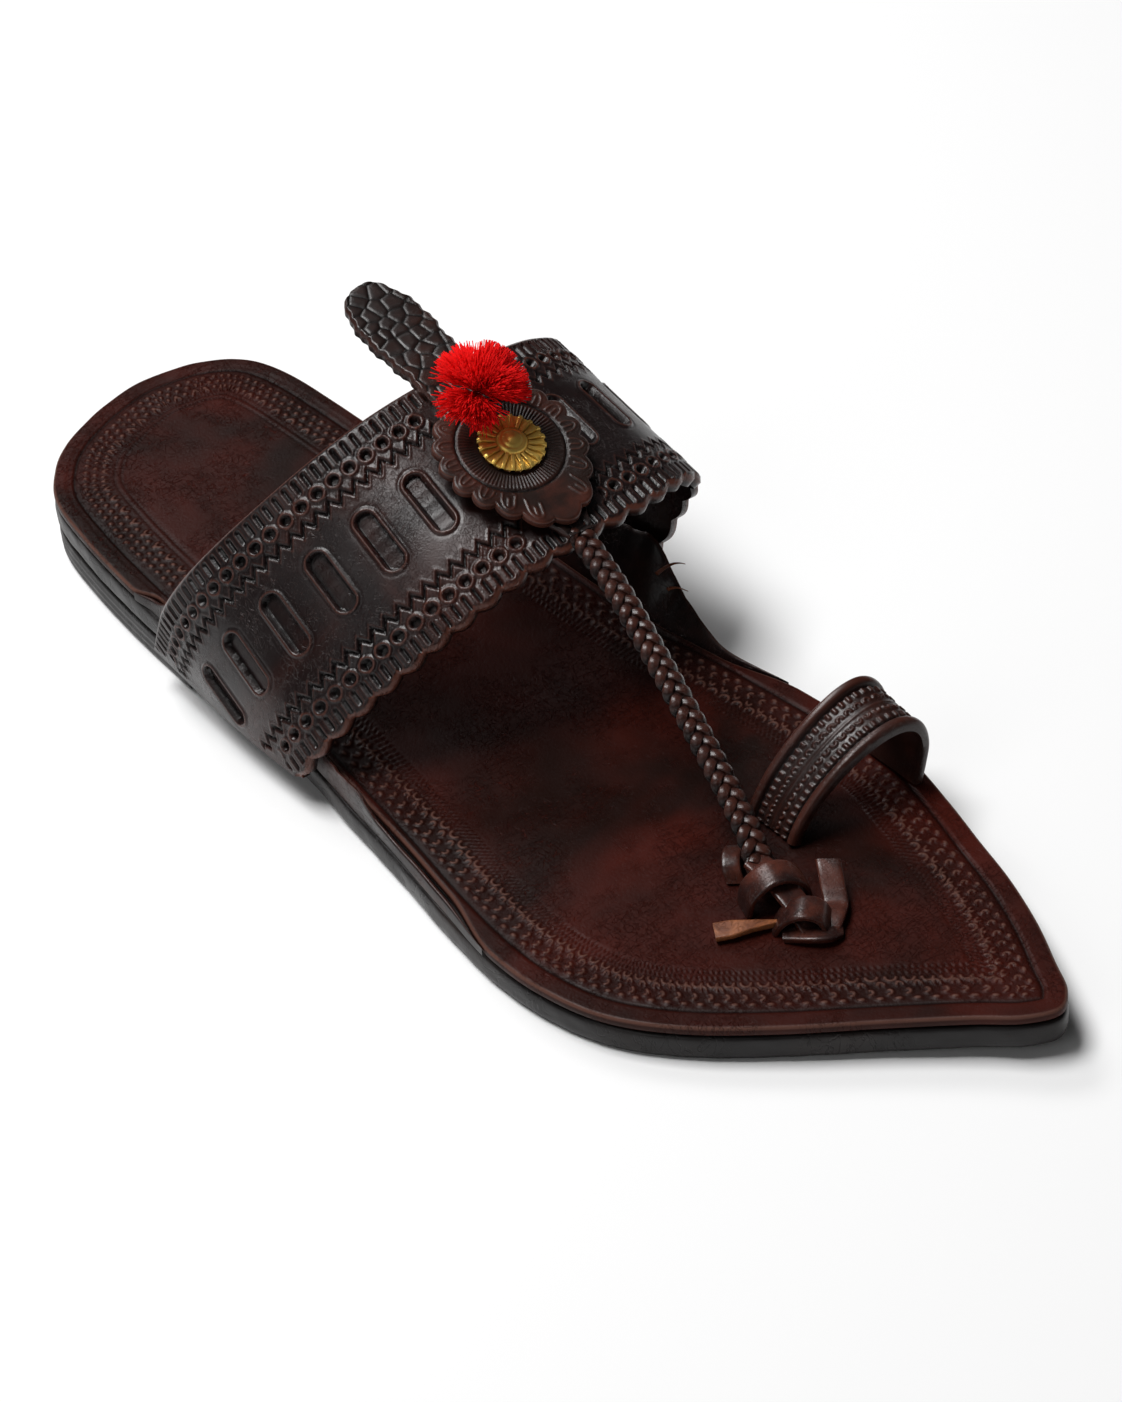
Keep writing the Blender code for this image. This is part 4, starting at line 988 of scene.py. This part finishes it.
fine = np.linspace(BRAID_FIRST, BRAID_LAST, 1500)
fine_spots = strap_frames(fine)[0]
fine_run = np.concatenate([[0.0], np.cumsum(np.linalg.norm(np.diff(fine_spots, axis=0), axis=1))])
braid_places = np.interp(np.arange(0.0, fine_run[-1], 0.3 * MM), fine_run, fine)
braid_run = np.interp(braid_places, fine, fine_run)
spots, forward, across, up, shape = strap_frames(braid_places)
narrow = np.interp(braid_run, [0, 6 * MM, braid_run[-1] - 5 * MM, braid_run[-1]], [1.0, 1.0, 1.0, 1.15])
braid_leather = leather("braid_hide", (0.014, 0.005, 0.004), (0.058, 0.018, 0.012), 0.7 * MM, 0.10 * MM, 0.28,
                        blotch=160.0, stamped=True, coat=0.25, worn_share=0.65)
for number in range(3):
    phase = 2 * math.pi * braid_run / (3 * CHEVRON_PITCH) + number * 2 * math.pi / 3
    middle = spots + across * (STRAND_SWING * narrow * np.sin(phase))[:, None]
    middle = middle + up * (STRAND_RISE * np.sin(2 * phase))[:, None]
    run_way = np.gradient(middle, axis=0)
    run_way /= np.linalg.norm(run_way, axis=1)[:, None]
    flat_up = up + across * (0.55 * np.sin(phase))[:, None]
    wide = np.cross(run_way, flat_up)
    wide /= np.linalg.norm(wide, axis=1)[:, None]
    thick = np.cross(wide, run_way)
    rings = []
    for turn in np.linspace(0, 2 * math.pi, 20, endpoint=False):
        side = np.sign(math.cos(turn)) * abs(math.cos(turn)) ** 0.8
        rise = np.sign(math.sin(turn)) * abs(math.sin(turn)) ** 0.8
        crease = 0.07 * MM * math.cos(7 * side) * (rise > 0)
        rings.append(middle + wide * (STRAND_HALF_WIDTH * side) + thick * (STRAND_HALF_THICK * rise + crease))
    points, faces = closed_tube(np.stack(rings, 1))
    # Painted light: each strand is lightened where it lies on top of the braid and darkened where it dips
    # under the others, painted highlight and painted shade.
    over = np.sin(2 * phase)
    strand_light_and_shade = np.repeat(0.7 * ease(over, 0.2, 1.0) - 0.8 * (1 - ease(over, -0.6, 0.1)), 20)
    strand = add_piece(f"braid_strand_{number + 1}", points, faces, braid_leather,
                       {"tone": strand_light_and_shade}, sharp=70)
    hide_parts("upper")

# Braid end: past the braid the strip is left flat and slit once, and its two tails are tucked
# under the knot. Rows: place on the strap's own line, half width (mm) and half thickness (mm).
TAIL_ROWS = ((15.75, 1.1, 0.55), (16.1, 1.7, 0.5), (16.6, 1.75, 0.45), (17.2, 1.6, 0.42), (18.0, 1.3, 0.4))
TAIL_SPREAD = (0.9, 1.5, 1.75, 1.7, 1.4)
for number, sense in enumerate((-1, 1)):
    steps = np.linspace(0, len(TAIL_ROWS) - 1, 60)
    rows = smooth_rows(TAIL_ROWS, steps)
    spread = smooth_rows([(value,) for value in TAIL_SPREAD], steps)[:, 0]
    spots, forward, across, up, _ = strap_frames(np.clip(rows[:, 0], 0, 17.94))
    middle = spots + across * (sense * spread * MM)[:, None]
    rings = []
    for turn in np.linspace(0, 2 * math.pi, 20, endpoint=False):
        side = np.sign(math.cos(turn)) * abs(math.cos(turn)) ** 0.4
        rise = np.sign(math.sin(turn)) * abs(math.sin(turn)) ** 0.6
        tilt = 0.25 * sense * side
        rings.append(middle + across * (side * rows[:, 1] * MM)[:, None]
                     + up * ((rise * rows[:, 2] - tilt) * MM)[:, None])
    points, faces = closed_tube(np.stack(rings, 1))
    # The tails are darkened a little: painted shade under the knot.
    tail = add_piece(f"braid_tail_{number + 1}", points, faces, strap_leather,
                     {"tone": np.full(len(points), -0.15)}, sharp=60)
    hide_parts("upper")

# Toe loop: a strap bent over the big toe and sunk through the insole on both sides. Both its edges
# are rolled over a cord, and the flat between them carries rows of stamped bars and hooks.
LOOP_HEIGHT = 17 * MM
LOOP_HALF_WIDTH = 7.3
LOOP_WALL = 2.4 * MM
LOOP_ALONG = 169.7 * MM
LOOP_SKEW = 0.10
LOOP_ROWS = (
    (-0.352, 0.020, 0.00),
    (-0.384, 0.210, 0.00),
    (-0.454, 0.480, 0.02),
    (-0.556, 0.740, 0.04),
    (-0.676, 0.960, 0.07),
    (-0.796, 1.090, 0.10),
    (-0.896, 1.090, 0.11),
    (-0.966, 0.930, 0.09),
    (-0.992, 0.620, 0.05),
    (-0.976, 0.300, 0.02),
    (-0.952, 0.020, 0.00),
)
loop_steps = np.linspace(0, len(LOOP_ROWS) - 1, 250)
loop_rows = smooth_rows(LOOP_ROWS, loop_steps)
loop_ahead = (smooth_rows(LOOP_ROWS, loop_steps + 0.05) - smooth_rows(LOOP_ROWS, loop_steps - 0.05))[:, :2]
loop_ahead = loop_ahead * np.array([HALF_BALL, LOOP_HEIGHT])
loop_ahead /= np.linalg.norm(loop_ahead, axis=1)[:, None]
loop_normal = np.stack([loop_ahead[:, 1], -loop_ahead[:, 0]], 1)
loop_middle = np.stack([loop_rows[:, 0] * HALF_BALL, loop_rows[:, 1] * LOOP_HEIGHT], 1)
loop_walk = np.concatenate([[0], np.cumsum(np.linalg.norm(np.diff(loop_middle, axis=0), axis=1))]) / MM


def loop_face(width):
    """Stamped height and tone of the loop's outer face at a width from its middle, in mm: rubbed dye with
    painted highlight on rolls and stamps, ink with painted shade in the gutters.
    """
    edge = LOOP_HALF_WIDTH - abs(width)
    roll = math.sqrt(max(0.0, 1 - ((edge - 1.15) / 1.15) ** 2)) if edge < 2.3 else 0.0
    gutter = math.exp(-((edge - 2.55) / 0.3) ** 2)
    bars = np.maximum(np.hypot(repeat(loop_walk, 1.75), max(abs(abs(width) - 3.75) - 0.45, 0.0)) - 0.30, -0.3)
    hooks = arch_field(repeat(loop_walk, 2.2, 0.3), np.full(len(loop_walk), abs(width) - 1.35), 0.62, 0.20)
    middle = np.abs(np.full(len(loop_walk), width)) - 0.16
    stamp = 1 - ease(np.minimum(bars, hooks), -0.12, 0.22)
    ridge = 1 - ease(middle, -0.1, 0.3)
    height = 0.62 * roll - 0.45 * gutter + (0.34 * stamp + 0.12 * ridge - 0.22) * (edge > 2.6)
    # Rolls and stamps lighter, gutters and flat darker: partly dye, partly painted highlight and painted
    # shade.
    tone = 0.5 * roll - 0.9 * gutter + (0.9 * stamp + 0.3 * ridge - 0.45) * (edge > 2.6)
    return height + 0 * loop_walk, tone + 0 * loop_walk


loop_rings, loop_tones = [], []
outer = np.linspace(-LOOP_HALF_WIDTH, LOOP_HALF_WIDTH, 92)
section = [(width, True) for width in outer] + [(width, False) for width in outer[::-6]]
for width, outside in section:
    along = LOOP_ALONG - LOOP_SKEW * (loop_middle[:, 0] + 0.0187) + width * MM
    face, tone = loop_face(width)
    tuck = 0.35 * ease(abs(width), LOOP_HALF_WIDTH - 0.7, LOOP_HALF_WIDTH)
    if outside:
        lift = LOOP_WALL * 0.32 + face * MM - tuck * MM
    else:
        lift = np.full(len(loop_walk), -LOOP_WALL * 0.5 + tuck * MM)
        tone = np.zeros(len(loop_walk))
    height = insole_top(along) + loop_middle[:, 1] - width / LOOP_HALF_WIDTH * loop_rows[:, 2] * LOOP_HEIGHT
    height = height + loop_normal[:, 1] * lift
    loop_rings.append(np.stack([loop_middle[:, 0] + loop_normal[:, 0] * lift, along, height], 1))
    loop_tones.append(tone)
points, faces = closed_tube(np.stack(loop_rings, 1))
loop_leather = leather("loop_hide", (0.022, 0.007, 0.005), (0.075, 0.020, 0.012), 0.8 * MM, 0.08 * MM, 0.34,
                       blotch=70.0, stamped=True, coat=0.2, worn_share=0.6)
toe_loop = add_piece("toe_loop_strap", points, faces, loop_leather,
                     {"tone": np.stack(loop_tones, 1).ravel()}, sharp=70)
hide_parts("toe_loop")

# Knot: where the braid meets the sole its tails are bound with two turns of the same strip, and
# the strip's own ends are left loose. Each strip names the CAD node that it stands for and its
# half width in mm; its rows are across, along and rise above the insole, as shares.
KNOT_HEIGHT = 7.0 * MM
KNOT_WALL = 1.5
KNOT_STRIPS = {
    "knot_wrap_strip": ("knot_wrap", 3.3, (
        (0.034, 1.832, 0.000),
        (0.012, 1.838, 0.600),
        (-0.056, 1.850, 0.960),
        (-0.128, 1.862, 0.940),
        (-0.186, 1.872, 0.580),
        (-0.206, 1.876, 0.000),
    )),
    "knot_core_strip": ("knot_wrap", 2.7, (
        (-0.100, 1.790, 0.80),
        (-0.096, 1.850, 0.70),
        (-0.086, 1.905, 0.55),
        (-0.070, 1.955, 0.40),
        (-0.060, 1.990, 0.12),
    )),
    "knot_fold_strip": ("knot_turn", 1.8, (
        (0.030, 1.945, 0.05),
        (-0.030, 1.990, 0.20),
        (-0.090, 2.015, 0.20),
        (-0.150, 2.015, 0.06),
    )),
    "knot_turn_strip": ("knot_turn", 3.2, (
        (0.006, 1.912, 0.000),
        (-0.018, 1.928, 0.460),
        (-0.062, 1.954, 0.740),
        (-0.110, 1.978, 0.600),
        (-0.138, 1.992, 0.000),
    )),
    "knot_eye_strip": ("knot_eye", 1.9, (
        (-0.036, 1.766, 0.000),
        (-0.044, 1.748, 0.360),
        (-0.084, 1.726, 0.480),
        (-0.130, 1.710, 0.360),
        (-0.148, 1.704, 0.000),
    )),
    "knot_end_lateral_strip": ("knot_end_lateral", 2.3, (
        (0.222, 1.853, 0.140),
        (0.160, 1.872, 0.170),
        (0.090, 1.894, 0.190),
        (0.000, 1.922, 0.160),
    )),
    "knot_end_medial_strip": ("knot_end_medial", 2.5, (
        (-0.105, 2.000, 0.120),
        (-0.170, 1.980, 0.240),
        (-0.222, 1.958, 0.200),
        (-0.250, 1.936, 0.360),
        (-0.282, 1.910, 0.620),
        (-0.308, 1.888, 0.800),
    )),
}
knot_leather = leather("knot_hide", (0.018, 0.006, 0.005), (0.085, 0.022, 0.013), 1.0 * MM, 0.10 * MM, 0.26,
                       blotch=110.0, stamped=True, coat=0.35, worn_share=0.6)
tan_leather = leather("knot_tan", (0.150, 0.045, 0.018), (0.420, 0.150, 0.055), 0.8 * MM, 0.12 * MM, 0.34,
                      blotch=150.0, stamped=True, coat=0.3, worn_share=0.8)
STRIP_SECTION = 40


def strip_rings(half_width, rows, taper):
    """A flat strip swept along its rows, its edges softened, with a slight crown."""
    rows = np.array(rows)
    steps = np.linspace(0, len(rows) - 1, 90)
    scale = np.array([HALF_BALL, INSTEP_REACH, KNOT_HEIGHT])
    spots = smooth_rows(rows, steps) * scale
    ahead = (smooth_rows(rows, steps + 0.05) - smooth_rows(rows, steps - 0.05)) * scale
    ahead /= np.linalg.norm(ahead, axis=1)[:, None]
    span = (rows[-1][:2] - rows[0][:2]) * scale[:2]
    span /= np.linalg.norm(span)
    side_way = np.array([-span[1], span[0], 0.0])
    normal = np.cross(side_way, ahead)
    normal /= np.linalg.norm(normal, axis=1)[:, None]
    floor_level = float(insole_top(rows[0][1] * INSTEP_REACH)) + LAYER_GAP
    rings, tones = [], []
    share = steps / steps[-1]
    wide = half_width * taper(share)
    for turn in np.linspace(0, 2 * math.pi, STRIP_SECTION, endpoint=False):
        side = np.sign(math.cos(turn)) * abs(math.cos(turn)) ** 0.35
        rise = np.sign(math.sin(turn)) * abs(math.sin(turn)) ** 0.5
        crown = 0.16 * (1 - side * side) - 0.05
        lift = (rise * KNOT_WALL / 2 + crown * (rise > 0)) * MM
        point = spots + side_way * (side * wide * MM)[:, None] + normal * lift
        point[:, 2] += floor_level
        rings.append(point)
        # Painted light: the strip's edges lightened, its top a little lighter and its underside a little
        # darker, painted highlight and painted shade.
        tones.append(np.full(len(share), 0.8 if abs(side) > 0.97 and rise > -0.5 else 0.1 * rise))
    return np.stack(rings, 1), np.stack(tones, 1)


for strip_name, (node_name, half_width, rows) in KNOT_STRIPS.items():
    pointed = node_name == "knot_end_lateral"

    def taper(share, pointed=pointed):
        """The tan end is cut to a point towards the knot; the others keep their width."""
        return np.where(share > 0.30, 1 - 0.85 * (share - 0.30) / 0.70, 1.0) if pointed else 1.0 + 0 * share
    rings, tones = strip_rings(half_width, rows, taper)
    points, faces = closed_tube(rings)
    strip = add_piece(strip_name, points, faces, tan_leather if pointed else knot_leather,
                      {"tone": tones.ravel()}, sharp=60)
    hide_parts(node_name)

# Rosette: a scalloped disc of thin leather with a tip towards the toe, tooled with a ring, fine
# rays inside it and a horseshoe in each scallop, riveted through strap and band by the stud.
ROSETTE_WALL = 1.8
STRAP_PROUD = 1.55
ROSETTE_SIDE = 0.6
ROSETTE_RADIUS = 16.0
ROSETTE_TIP = 21.0
ROSETTE_LOBES = 18
ROSETTE_RING = 11.5
rosette_run = np.array([STRAP_PITCH * SLOT_PITCH])
band_half = np.array([BAND_WIDTH / MM / 2])
crown_spot = bend_band(rosette_run, band_half, np.zeros(1))[0]
crown_up = (bend_band(rosette_run, band_half, np.ones(1))[0] - crown_spot) / MM
crown_front = bend_band(rosette_run, 2 * band_half, np.zeros(1))[0]
crown_ahead = crown_front - bend_band(rosette_run, 0 * band_half, np.zeros(1))[0]
crown_ahead /= np.linalg.norm(crown_ahead)
crown_side = np.cross(crown_ahead, crown_up)
proud = BAND_WALL / MM / 2 + STRAP_PROUD + LAYER_GAP / MM + ROSETTE_WALL / 2
crown_spot = crown_spot + (crown_up * proud + crown_side * ROSETTE_SIDE) * MM


def on_rosette(right, ahead, lift):
    """Places on the rosette's plane in mm: right is lateral, ahead is towards the toe."""
    parts = np.broadcast_arrays(right, ahead, lift)
    return crown_spot + (parts[0][..., None] * crown_side + parts[1][..., None] * crown_ahead
                         + parts[2][..., None] * crown_up) * MM


around = 396
turns = np.linspace(0, 2 * math.pi, around, endpoint=False)
lobe = np.abs(np.cos(ROSETTE_LOBES * turns / 2)) ** 0.8
edge_radius = ROSETTE_RADIUS + (ROSETTE_TIP - ROSETTE_RADIUS) * np.maximum(0, np.cos(turns)) ** 6
edge_radius = edge_radius + 1.5 * (lobe - 0.78)
rosette_rings, rosette_tones = [], []
profile = [(1.0, -1.0), (1.0, -0.4), (1.0, 0.3)] + [(share, 1.0) for share in np.linspace(0.992, 0.03, 62)]
for share, level in profile:
    radius = edge_radius * share
    lobe_across = repeat(turns / (2 * math.pi) * ROSETTE_LOBES, 1.0) * 2 * math.pi * radius / ROSETTE_LOBES
    inward = edge_radius - radius
    shoe = np.abs(np.hypot(lobe_across, np.maximum(2.6 - inward, 0.0)) - 1.35) - 0.16
    shoe = np.where(inward > 5.0, 9.0, shoe)
    inner_bar = np.hypot(lobe_across, np.maximum(np.abs(inward - 3.0) - 0.9, 0.0)) - 0.18
    ring_line = np.exp(-((radius - ROSETTE_RING) / 0.28) ** 2)
    rays = np.cos(turns * 84) * ease(radius, 7.4, 8.2) * (1 - ease(radius, 10.6, 11.0))
    stamp = 1 - ease(np.minimum(shoe, inner_bar), -0.12, 0.22)
    stamp = stamp * (radius > ROSETTE_RING + 0.7) * (np.cos(turns) < 0.97)
    rim = np.exp(-(inward / 0.35) ** 2)
    # Tone: the disc's side and rim, the horseshoes and the rays lighter, the ring line darker: partly rubbed
    # dye and ink, partly painted highlight and painted shade.
    if level < 1.0:
        height = np.full(around, ROSETTE_WALL / 2 * level)
        tone = np.full(around, 0.35)
    else:
        drop = 0.35 * (1 - ease(inward, 0.0, 0.6))
        height = ROSETTE_WALL / 2 - drop + 0.20 * stamp + 0.14 * rim - 0.15 - 0.35 * ring_line + 0.10 * rays
        tone = 0.55 * stamp + 0.8 * rim - 0.8 * ring_line + 0.35 * rays - 0.15
    rosette_rings.append(on_rosette(radius * np.sin(turns), radius * np.cos(turns), height))
    rosette_tones.append(tone)
rings = np.stack(rosette_rings, 0)
points, faces = closed_tube(rings)
rosette_leather = leather("rosette_hide", (0.016, 0.007, 0.005), (0.070, 0.020, 0.013), 0.9 * MM,
                          0.10 * MM, 0.36, blotch=80.0, stamped=True, coat=0.15, worn_share=0.6,
                          rubbed_and_highlight_colour=(0.150, 0.050, 0.032))
rosette = add_piece("rosette_disc", points, faces, rosette_leather,
                    {"tone": np.stack(rosette_tones, 0).ravel()}, sharp=60)
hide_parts("rosette")

# Stud: a pressed brass cap with twenty straight bars round a small domed boss, dark between the
# bars, and held by its prongs through rosette, strap and band. Sizes in mm.
STUD_RADIUS = 7.2
STUD_RAYS = 20
STUD_SEAT = ROSETTE_WALL / 2 + LAYER_GAP / MM
BOSS_RADIUS = 3.35
stud_around = STUD_RAYS * 16
turns = np.linspace(0, 2 * math.pi, stud_around, endpoint=False)
bar_turn = repeat(turns / (2 * math.pi) * STUD_RAYS, 1.0) * 2 * math.pi / STUD_RAYS
stud_rings, stud_tones = [], []
for share, bent in [(0.96, -0.2)] + [(share, 0.2) for share in np.linspace(1.0, 0.47, 26)]:
    reach = STUD_RADIUS * share
    ray = 1 - ease(np.abs(bar_turn * reach), 0.34, 0.62)
    arch = 0.95 * math.sin(min(1.0, (1.0 - share) / 0.22 + 0.35) * math.pi / 2)
    height = STUD_SEAT + bent + (arch + 0.10) * ray
    stud_rings.append(on_rosette(reach * np.sin(turns), reach * np.cos(turns), height))
    stud_tones.append(-1.0 * (1 - ray))
for share in np.linspace(1.0, 0.02, 30):
    reach = BOSS_RADIUS * share
    dome = 0.7 + 1.5 * math.sqrt(max(0.0, 1 - share ** 3)) - 0.22 * math.exp(-((share - 0.66) / 0.10) ** 2)
    dome += 0.40 * math.exp(-(share / 0.36) ** 2)
    stud_rings.append(on_rosette(reach * np.sin(turns), reach * np.cos(turns), STUD_SEAT + dome))
    stud_tones.append(np.zeros(stud_around))
points, faces = closed_tube(np.stack(stud_rings, 0))
brass, brass_tree, brass_node = shader_tree("stud_brass")
brass_skin = brass_tree.nodes["Principled BSDF"]
brass_skin.inputs["Metallic"].default_value = 0.72
brass_place = brass_node("ShaderNodeTexCoord").outputs["Object"]
tarnish = brass_node("ShaderNodeTexNoise")
tarnish.inputs["Scale"].default_value = 420.0
tarnish.inputs["Detail"].default_value = 3.0
brass_tree.links.new(brass_place, tarnish.inputs["Vector"])
brass_tint = brass_node("ShaderNodeMix", data_type="RGBA")
brass_tint.inputs[6].default_value = (1.0, 0.70, 0.18, 1.0)
brass_tint.inputs[7].default_value = (0.86, 0.52, 0.10, 1.0)
brass_tree.links.new(tarnish.outputs["Fac"], brass_tint.inputs["Factor"])
brass_shade = brass_node("ShaderNodeMix", data_type="RGBA")
brass_shade.inputs[7].default_value = (0.06, 0.025, 0.008, 1.0)
brass_gap = brass_node("ShaderNodeMath", operation="MULTIPLY")
brass_gap.use_clamp = True
brass_gap.inputs[1].default_value = -1.0
brass_tone = brass_node("ShaderNodeAttribute", attribute_name="tone")
brass_tree.links.new(brass_tone.outputs["Fac"], brass_gap.inputs[0])
brass_tree.links.new(brass_gap.outputs["Value"], brass_shade.inputs["Factor"])
brass_tree.links.new(brass_tint.outputs[2], brass_shade.inputs[6])
brass_tree.links.new(brass_shade.outputs[2], brass_skin.inputs["Base Color"])
brass_rough = brass_node("ShaderNodeMapRange")
brass_rough.inputs["To Min"].default_value = 0.30
brass_rough.inputs["To Max"].default_value = 0.44
brass_tree.links.new(tarnish.outputs["Fac"], brass_rough.inputs["Value"])
brass_tree.links.new(brass_rough.outputs["Result"], brass_skin.inputs["Roughness"])
stud = add_piece("stud_cap", points, faces, brass, {"tone": np.stack(stud_tones, 0).ravel()}, sharp=60)
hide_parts("stud")

# Pompom: cut red cotton thread tied at its middle behind the stud, so that it opens into a few
# parted bunches. Every thread is modelled, thin and a little curved.
POMPOM_RADIUS = 9.6
POMPOM_RIGHT = 1.2
POMPOM_AHEAD = -10.9
POMPOM_LIFT = 7.2
THREADS = 3600
THREAD_RADIUS = 0.17
THREAD_STEPS = 5
BUNCHES = (
    # right, ahead, lift, share of the threads, tightness
    (0.55, 0.75, 0.35, 0.16, 3.4),
    (0.95, 0.15, 0.35, 0.12, 3.2),
    (-0.75, -0.35, 0.55, 0.16, 3.2),
    (-0.25, 0.55, 0.85, 0.12, 2.8),
    (0.35, -0.75, 0.60, 0.14, 3.0),
    (-0.85, 0.45, 0.25, 0.12, 3.4),
    (0.15, -0.10, 1.00, 0.10, 2.6),
    (-0.35, -0.90, 0.20, 0.08, 3.4),
    (0.00, 0.10, -1.00, 0.10, 5.0),
)
draw = np.random.default_rng(11)
bunch_axes = np.array([row[:3] for row in BUNCHES])
bunch_axes /= np.linalg.norm(bunch_axes, axis=1)[:, None]
bunch_shares = np.array([row[3] for row in BUNCHES])
picked = draw.choice(len(BUNCHES), THREADS, p=bunch_shares / bunch_shares.sum())
pull = np.array([row[4] for row in BUNCHES])[picked]
ways = draw.normal(size=(THREADS, 3))
ways /= np.linalg.norm(ways, axis=1)[:, None]
ways = bunch_axes[picked] * pull[:, None] + ways
ways /= np.linalg.norm(ways, axis=1)[:, None]
bends = draw.normal(size=(THREADS, 3)) * 0.10
reach = POMPOM_RADIUS * draw.uniform(0.68, 1.14, THREADS)
thread_rings = []
for step in range(THREAD_STEPS):
    share = step / (THREAD_STEPS - 1)
    out = 0.6 + (reach - 0.6) * share
    spot = ways * out[:, None] + bends * (reach * share * share)[:, None]
    length = np.linalg.norm(spot, axis=1)
    spot *= np.minimum(1.0, 1.14 * POMPOM_RADIUS / np.maximum(length, 1e-6))[:, None]
    ahead = POMPOM_AHEAD + spot[:, 1]
    seat = STUD_SEAT + 0.25 + 4.7 * ease(ahead, -9.8, -6.0)
    lift = np.maximum(POMPOM_LIFT + spot[:, 2], seat + 0.15 * draw.uniform(0, 1, THREADS))
    middle = on_rosette(POMPOM_RIGHT + spot[:, 0], ahead, lift)
    for corner in range(3):
        turn = 2 * math.pi * corner / 3
        sideways = np.cross(ways, bunch_axes[(picked + 1) % len(BUNCHES)])
        sideways /= np.linalg.norm(sideways, axis=1)[:, None] + 1e-9
        other = np.cross(ways, sideways)
        round_way = sideways * math.cos(turn) + other * math.sin(turn)
        thin = THREAD_RADIUS * (1.0 - 0.25 * share)
        offset = round_way @ np.stack([crown_side, crown_ahead, crown_up])
        thread_rings.append(middle + offset * thin * MM)
thread_points = np.stack(thread_rings, 1)
per_thread = THREAD_STEPS * 3
pattern = ring_faces(THREAD_STEPS, 3)
pattern += [(0, 2, 1), (per_thread - 3, per_thread - 2, per_thread - 1)]
pompom_faces = [tuple(number * per_thread + corner for corner in face)
                for number in range(THREADS) for face in pattern]
thread, thread_tree, thread_node = shader_tree("pompom_thread")
thread_skin = thread_tree.nodes["Principled BSDF"]
thread_place = thread_node("ShaderNodeTexCoord").outputs["Object"]
thread_noise = thread_node("ShaderNodeTexNoise")
thread_noise.inputs["Scale"].default_value = 900.0
thread_tree.links.new(thread_place, thread_noise.inputs["Vector"])
thread_tint = thread_node("ShaderNodeMix", data_type="RGBA")
thread_tint.inputs[6].default_value = (0.95, 0.010, 0.008, 1.0)
thread_tint.inputs[7].default_value = (0.72, 0.004, 0.006, 1.0)
thread_tree.links.new(thread_noise.outputs["Fac"], thread_tint.inputs["Factor"])
thread_tree.links.new(thread_tint.outputs[2], thread_skin.inputs["Base Color"])
thread_skin.inputs["Roughness"].default_value = 0.9
thread_skin.inputs["Specular IOR Level"].default_value = 0.15
pompom = add_piece("pompom_threads", thread_points.reshape(-1, 3), pompom_faces, thread, sharp=180)
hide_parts("pompom")

# Floor, light and camera: a white sweep under broad soft boxes, seen from above the toe's
# lateral side at the photograph's angle.
FLOOR_WHITE = (0.93, 0.93, 0.93, 1.0)
floor_mesh = bpy.data.meshes.new("floor")
floor_mesh.from_pydata([(-6, -6, 0), (6, -6, 0), (6, 6, 0), (-6, 6, 0)], [], [(0, 1, 2, 3)])
floor = bpy.data.objects.new("floor", floor_mesh)
bpy.context.scene.collection.objects.link(floor)
floor_material, floor_tree, _ = shader_tree("floor_white")
floor_skin = floor_tree.nodes["Principled BSDF"]
floor_skin.inputs["Base Color"].default_value = FLOOR_WHITE
floor_skin.inputs["Roughness"].default_value = 0.9
floor_skin.inputs["Specular IOR Level"].default_value = 0.1
floor_mesh.materials.append(floor_material)

world = bpy.data.worlds.new("studio")
bpy.context.scene.world = world
world.use_nodes = True
world.node_tree.nodes["Background"].inputs["Color"].default_value = (1.0, 1.0, 1.0, 1.0)
world.node_tree.nodes["Background"].inputs["Strength"].default_value = 0.04


def soft_box(name, where, aim, size, power):
    lamp = bpy.data.lights.new(name, "AREA")
    lamp.shape = "RECTANGLE"
    lamp.size, lamp.size_y = size
    lamp.energy = power
    holder = bpy.data.objects.new(name, lamp)
    bpy.context.scene.collection.objects.link(holder)
    holder.location = where
    holder.rotation_mode = "QUATERNION"
    holder.rotation_quaternion = (Vector(aim) - Vector(where)).to_track_quat("-Z", "Y")


soft_box("key", (0.30, -0.30, 1.50), (0.0, 0.10, 0.0), (0.8, 0.6), 24.0)
soft_box("rear", (-0.20, -1.30, 1.40), (0.0, 0.10, 0.0), (0.9, 0.5), 10.0)
soft_box("side", (1.30, 0.50, 0.90), (0.0, 0.1, 0.0), (0.9, 0.9), 2.5)

CAMERA_TARGET = Vector((-17.5, 100.6, 0.0)) * MM
CAMERA_DISTANCE = 881.95 * MM
CAMERA_AZIMUTH = math.radians(145.04)
CAMERA_ELEVATION = math.radians(40.21)
CAMERA_ROLL = math.radians(-5.82)
back = Vector((math.sin(CAMERA_AZIMUTH) * math.cos(CAMERA_ELEVATION),
               -math.cos(CAMERA_AZIMUTH) * math.cos(CAMERA_ELEVATION), math.sin(CAMERA_ELEVATION)))
level = Vector((math.cos(CAMERA_AZIMUTH), math.sin(CAMERA_AZIMUTH), 0.0))
upright = back.cross(level)
camera_right = level * math.cos(CAMERA_ROLL) + upright * math.sin(CAMERA_ROLL)
camera_up = back.cross(camera_right)
lens = bpy.data.cameras.new("camera")
lens.sensor_width = 36.0
lens.lens = 107.1
camera = bpy.data.objects.new("camera", lens)
bpy.context.scene.collection.objects.link(camera)
turn = [[camera_right[axis], camera_up[axis], back[axis]] for axis in range(3)]
camera.matrix_world = Matrix.Translation(CAMERA_TARGET + back * CAMERA_DISTANCE) @ Matrix(turn).to_4x4()
bpy.context.scene.camera = camera
bpy.context.scene.view_settings.view_transform = "Standard"
